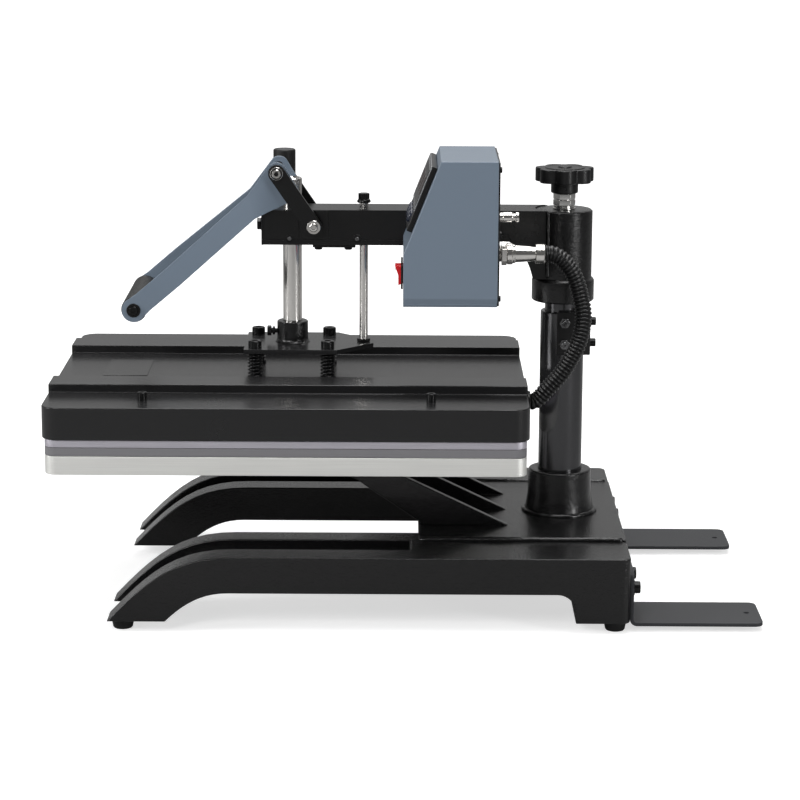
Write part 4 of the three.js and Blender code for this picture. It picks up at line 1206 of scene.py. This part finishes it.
def makeCase():
    low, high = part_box("control_case")
    piece = mergedCopy("control_case")
    # The side sheets turn in along their bottom edges
    pick(piece)
    bpy.ops.object.mode_set(mode="EDIT")
    bpy.ops.mesh.select_all(action="SELECT")
    bpy.ops.mesh.bisect(plane_co=(0, 0, low.z + caseLook["band"] / 1000), plane_no=(0, 0, 1))
    bpy.ops.object.mode_set(mode="OBJECT")
    for side, limit in ((1, high.x), (-1, low.x)):
        pick(piece)
        bpy.ops.object.mode_set(mode="EDIT")
        bpy.ops.mesh.select_mode(type="VERT")
        bpy.ops.mesh.select_all(action="DESELECT")
        bpy.ops.object.mode_set(mode="OBJECT")
        for vertex in piece.data.vertices:
            vertex.select = abs(vertex.co.x - limit) < 1e-4 and vertex.co.z < low.z + 1e-4
        bpy.ops.object.mode_set(mode="EDIT")
        bpy.ops.transform.translate(value=(-side * caseLook["bandIn"] / 1000, 0, 0))
        bpy.ops.object.mode_set(mode="OBJECT")
    softenEdges(piece, caseLook["edge"], 3, 12)
    standFor(piece, "control_case", "slateBlue", 45)
    # Rear plate with its screws
    rear = high.y + caseLook["rearPlate"] / 1000
    plate = slab(
        (low.x + 0.002, high.y - 0.0004, low.z + 0.0015), (high.x - 0.002, rear, high.z - 0.0015), 0.0005,
    )
    settle(plate, "case_rear_plate", "powderBlack", "swing_arm")
    inset = caseLook["screwInset"]
    for i, x in enumerate((low.x + inset, high.x - caseLook["rightScrewInset"])):
        for j, z in enumerate((low.z + inset, (low.z + high.z) / 2, high.z - inset)):
            socketScrew(
                f"case_screw_{i + 1}_{j + 1}", Vector((x, rear, z)), "Y", 3.2, 1.8,
                "swing_arm", "blackOxide", 28,
            )


displayLook = {
    "front": 6, "faceMargin": 0.3, "face": (46, 96.4), "screenMargin": 7, "screen": (51, 92),
    "windowFrom": 16, "windowPitch": 32, "windowWidth": 24, "window": (62, 82), "buttonUp": 0.036,
}


def makeDisplay():
    softCopy("display_panel", "mouldedBlack", 0.0007, 2, 40)
    toCase = slantMatrix()
    low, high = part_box("display_panel")
    left, right = low.x * 1000, high.x * 1000
    front = displayLook["front"]

    def onSlant(acrossFrom, acrossTo, reach, depth, edge):
        # A flat piece on the slanted front, in millimetres across it, up it and outwards from the panel
        low = Vector((acrossFrom, reach[0], front + depth[0])) / 1000
        high = Vector((acrossTo, reach[1], front + depth[1])) / 1000
        piece = slab(low, high, edge)
        piece.matrix_world = toCase
        return piece

    margin = displayLook["faceMargin"]
    face = onSlant(left + margin, right - margin, displayLook["face"], (-0.2, 0.9), 0.0005)
    settle(face, "display_face", "silverTrim", "swing_arm")
    margin = displayLook["screenMargin"]
    screen = onSlant(left + margin, right - margin, displayLook["screen"], (0.5, 1.4), 0.0005)
    settle(screen, "display_screen", "displayDark", "swing_arm")
    # Three blank windows for the temperature, the time and the count
    for i in range(3):
        start = left + displayLook["windowFrom"] + i * displayLook["windowPitch"]
        window = onSlant(start, start + displayLook["windowWidth"], displayLook["window"], (1.3, 1.6), 0.0003)
        settle(window, f"display_window_{i + 1}", "displayWindow", "swing_arm")
    for node in ("down_button", "set_button", "up_button"):
        cap = turnPiece([(7.4, 3.4), (7.4, 7.4), (6.8, 8.4), (5.2, 9.0), (2.4, 9.3)])
        cap.matrix_world = toCase @ Matrix.Translation((middle(node).x, displayLook["buttonUp"], 0))
        standFor(cap, node, "buttonDark", 50)


def makeSwitch():
    softCopy("switch_frame", "mouldedBlack", 0.0006)
    softCopy("power_rocker", "rockerRed", 0.0006, 3, 25)
    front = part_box("power_rocker")[0].y
    centre = middle("power_rocker")
    x, z = centre.x, centre.z
    mark = slab((x - 0.0007, front + 0.0004, z + 0.0045), (x + 0.0007, front + 0.0012, z + 0.0085), 0.0001)
    settle(mark, "rocker_on_mark", "markWhite", "power_rocker")


inletLook = {
    "pins": ((0, 0.004), (-0.0045, -0.002), (0.0045, -0.002)), "pinHalf": (0.001, 0.002),
    "pinDepth": 0.002, "pinLength": 0.013, "screwReach": 0.020,
}


def makeInlet():
    softCopy("power_inlet", "mouldedBlack", 0.0006)
    low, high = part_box("power_inlet")
    centre = middle("power_inlet")
    floor = low.y + inletLook["pinDepth"]
    halfX, halfZ = inletLook["pinHalf"]
    pins = []
    for offsetX, offsetZ in inletLook["pins"]:
        x, z = centre.x + offsetX, centre.z + offsetZ
        pinHigh = (x + halfX, floor + inletLook["pinLength"], z + halfZ)
        pins.append(slab((x - halfX, floor, z - halfZ), pinHigh, 0.0003))
    settle(joinPieces(*pins), "inlet_pins", "brightSteel", "swing_arm")
    for i, side in enumerate((-1, 1)):
        place = Vector((centre.x, high.y, centre.z + side * inletLook["screwReach"]))
        socketScrew(f"inlet_screw_{i + 1}", place, "Y", 2.8, 1.4, "swing_arm", "zincNut", 28)


fittingLook = {
    "threads": 4, "threadPitch": 1.2, "hexFrom": 5.2, "hexRadius": 12.8, "hexLength": 5.4,
    "ringFrom": 10.6, "coneFrom": 16.8, "nutLength": 10.2,
}


def rearOf(node):
    # Where a fitting that lies along Y starts on the case's rear, and its length in millimetres
    low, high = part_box(node)
    centre = middle(node)
    return Vector((centre.x, low.y, centre.z)), (high.y - low.y) * 1000


def makeConduitFitting():
    # Threaded neck, hexagon, knurled ring, long cone and clamping nut, from the case outwards
    start, length = rearOf("conduit_fitting")

    def outward(distance):
        return start + Vector((0, distance / 1000, 0))

    pitch = fittingLook["threadPitch"]
    neck = [(8.2, 0)]
    for i in range(fittingLook["threads"]):
        neck += [(9.0, (i + 0.5) * pitch), (8.2, (i + 1) * pitch)]
    ring = [(10.6, 0), (11.6, 0.8), (11.6, 5.6), (10.6, 6.4)]
    cone = [(10.4, 0), (10.2, 2), (9.4, 3), (8.2, 19), (7.6, 22.5), (7.6, 24.4)]
    nut = [(9.8, 0), (10.6, 0.8), (10.6, 9.4), (9.8, fittingLook["nutLength"])]
    parts = [
        turnPiece(neck, start, "Y", 48),
        hexPiece(outward(fittingLook["hexFrom"]), "Y", fittingLook["hexRadius"], fittingLook["hexLength"]),
        turnPiece(ring, outward(fittingLook["ringFrom"]), "Y", 28),
        turnPiece(cone, outward(fittingLook["coneFrom"]), "Y", 56),
        turnPiece(nut, outward(length - fittingLook["nutLength"]), "Y", 30),
    ]
    for part in parts:
        pick(part)
        bpy.ops.object.shade_smooth_by_angle(angle=math.radians(30))
    standFor(joinPieces(*parts), "conduit_fitting", "brightSteel", 28)


def makeFittings():
    makeConduitFitting()
    steps = [(6.6, 0), (6.6, 2.6), (5, 3), (5, 6), (5.5, 6.4), (5.5, 15.5), (5, 16), (4, 16.4), (4, 19.6)]
    steps += [(5.2, 20), (5.4, 20.6), (5.4, 22.6), (4.8, 23.3), (2, 23.4)]
    standFor(turnPiece(steps, rearOf("sensor_socket")[0], "Y", 40), "sensor_socket", "brightSteel", 30)
    steps = [(10.2, 0), (11, 0.7), (11, 2.2), (10.2, 3)]
    standFor(turnPiece(steps, rearOf("conduit_gland")[0], "Y", 48), "conduit_gland", "mouldedBlack", 40)


conduitLook = {
    "pitch": 4.1, "valley": 7.9, "crest": 9.25, "sides": 26,
    # One ring's outline: share of the pitch along the hose, share of the way from valley to crest
    "ring": ((0.14, 0.3), (0.27, 0.78), (0.42, 1), (0.58, 1), (0.73, 0.78), (0.86, 0.3), (1, 0)),
    "bendFrom": (-0.020, -0.020), "bendTo": (-0.036, 0.020),
}
# The conduit's route beside the column: [distance behind the column's axis, height]
conduitRoute = [
    (-26, 390.8), (-20, 390.8), (-10, 386.5), (0, 376.5), (8, 361), (13, 343), (16, 326), (15, 309),
    (11, 293), (4, 278), (-4, 264), (-14, 251.5), (-24, 240.5), (-30.5, 233), (-35.5, 230), (-39.2, 230),
]


def makeConduit():
    low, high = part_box("conduit")
    x = (low.x + high.x) / 2
    columnY = middle("column_tube").y
    route = bpy.data.curves.new("conduitRoute", "CURVE")
    route.dimensions = "3D"
    route.resolution_u = 16
    spline = route.splines.new("BEZIER")
    spline.bezier_points.add(len(conduitRoute) - 1)
    for point, (behind, height) in zip(spline.bezier_points, conduitRoute):
        point.co = (x, columnY + behind / 1000, at(0, 0, height).z)
        point.handle_left_type = "AUTO"
        point.handle_right_type = "AUTO"
    guide = bpy.data.objects.new("conduitRoute", route)
    bpy.context.scene.collection.objects.link(guide)
    bpy.context.view_layer.update()
    length = spline.calc_length() * 1000
    rings = round(length / conduitLook["pitch"])
    pitch = length / rings
    valley, crest = conduitLook["valley"], conduitLook["crest"]
    clearSelection()
    bpy.ops.mesh.primitive_circle_add(vertices=conduitLook["sides"], radius=valley / 1000)
    piece = bpy.context.object
    bpy.ops.object.mode_set(mode="EDIT")
    bpy.ops.mesh.select_all(action="SELECT")
    radius, along = valley, 0
    for share, rise in conduitLook["ring"]:
        nextRadius = valley + (crest - valley) * rise
        nextAlong = pitch * share
        bpy.ops.mesh.extrude_region_move(TRANSFORM_OT_translate={"value": (0, 0, (nextAlong - along) / 1000)})
        scale = nextRadius / radius
        bpy.ops.transform.resize(value=(scale, scale, 1), center_override=(0, 0, nextAlong / 1000))
        radius, along = nextRadius, nextAlong
    bpy.ops.object.mode_set(mode="OBJECT")
    applyModifier(
        piece, "ARRAY", count=rings, use_relative_offset=False, use_constant_offset=True,
        constant_offset_displace=(0, 0, pitch / 1000), use_merge_vertices=True, merge_threshold=0.00005,
    )
    pick(piece)
    bpy.ops.object.mode_set(mode="EDIT")
    bpy.ops.mesh.select_all(action="SELECT")
    bpy.ops.mesh.fill_holes(sides=conduitLook["sides"] + 2)
    bpy.ops.mesh.select_all(action="SELECT")
    bpy.ops.mesh.normals_make_consistent(inside=False)
    bpy.ops.object.mode_set(mode="OBJECT")
    applyModifier(piece, "CURVE", object=guide, deform_axis="POS_Z")
    bpy.data.objects.remove(guide, do_unlink=True)
    standFor(piece, "conduit", "conduitBlack", 60)
    piece.parent = None
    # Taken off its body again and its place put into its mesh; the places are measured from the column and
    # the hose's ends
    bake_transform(piece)


def makeController():
    makeCase()
    makeDisplay()
    makeSwitch()
    makeInlet()
    makeFittings()
    makeConduit()
    print("controller and conduit ready")


makeController()

# Last update of the scene

bpy.context.view_layer.update()
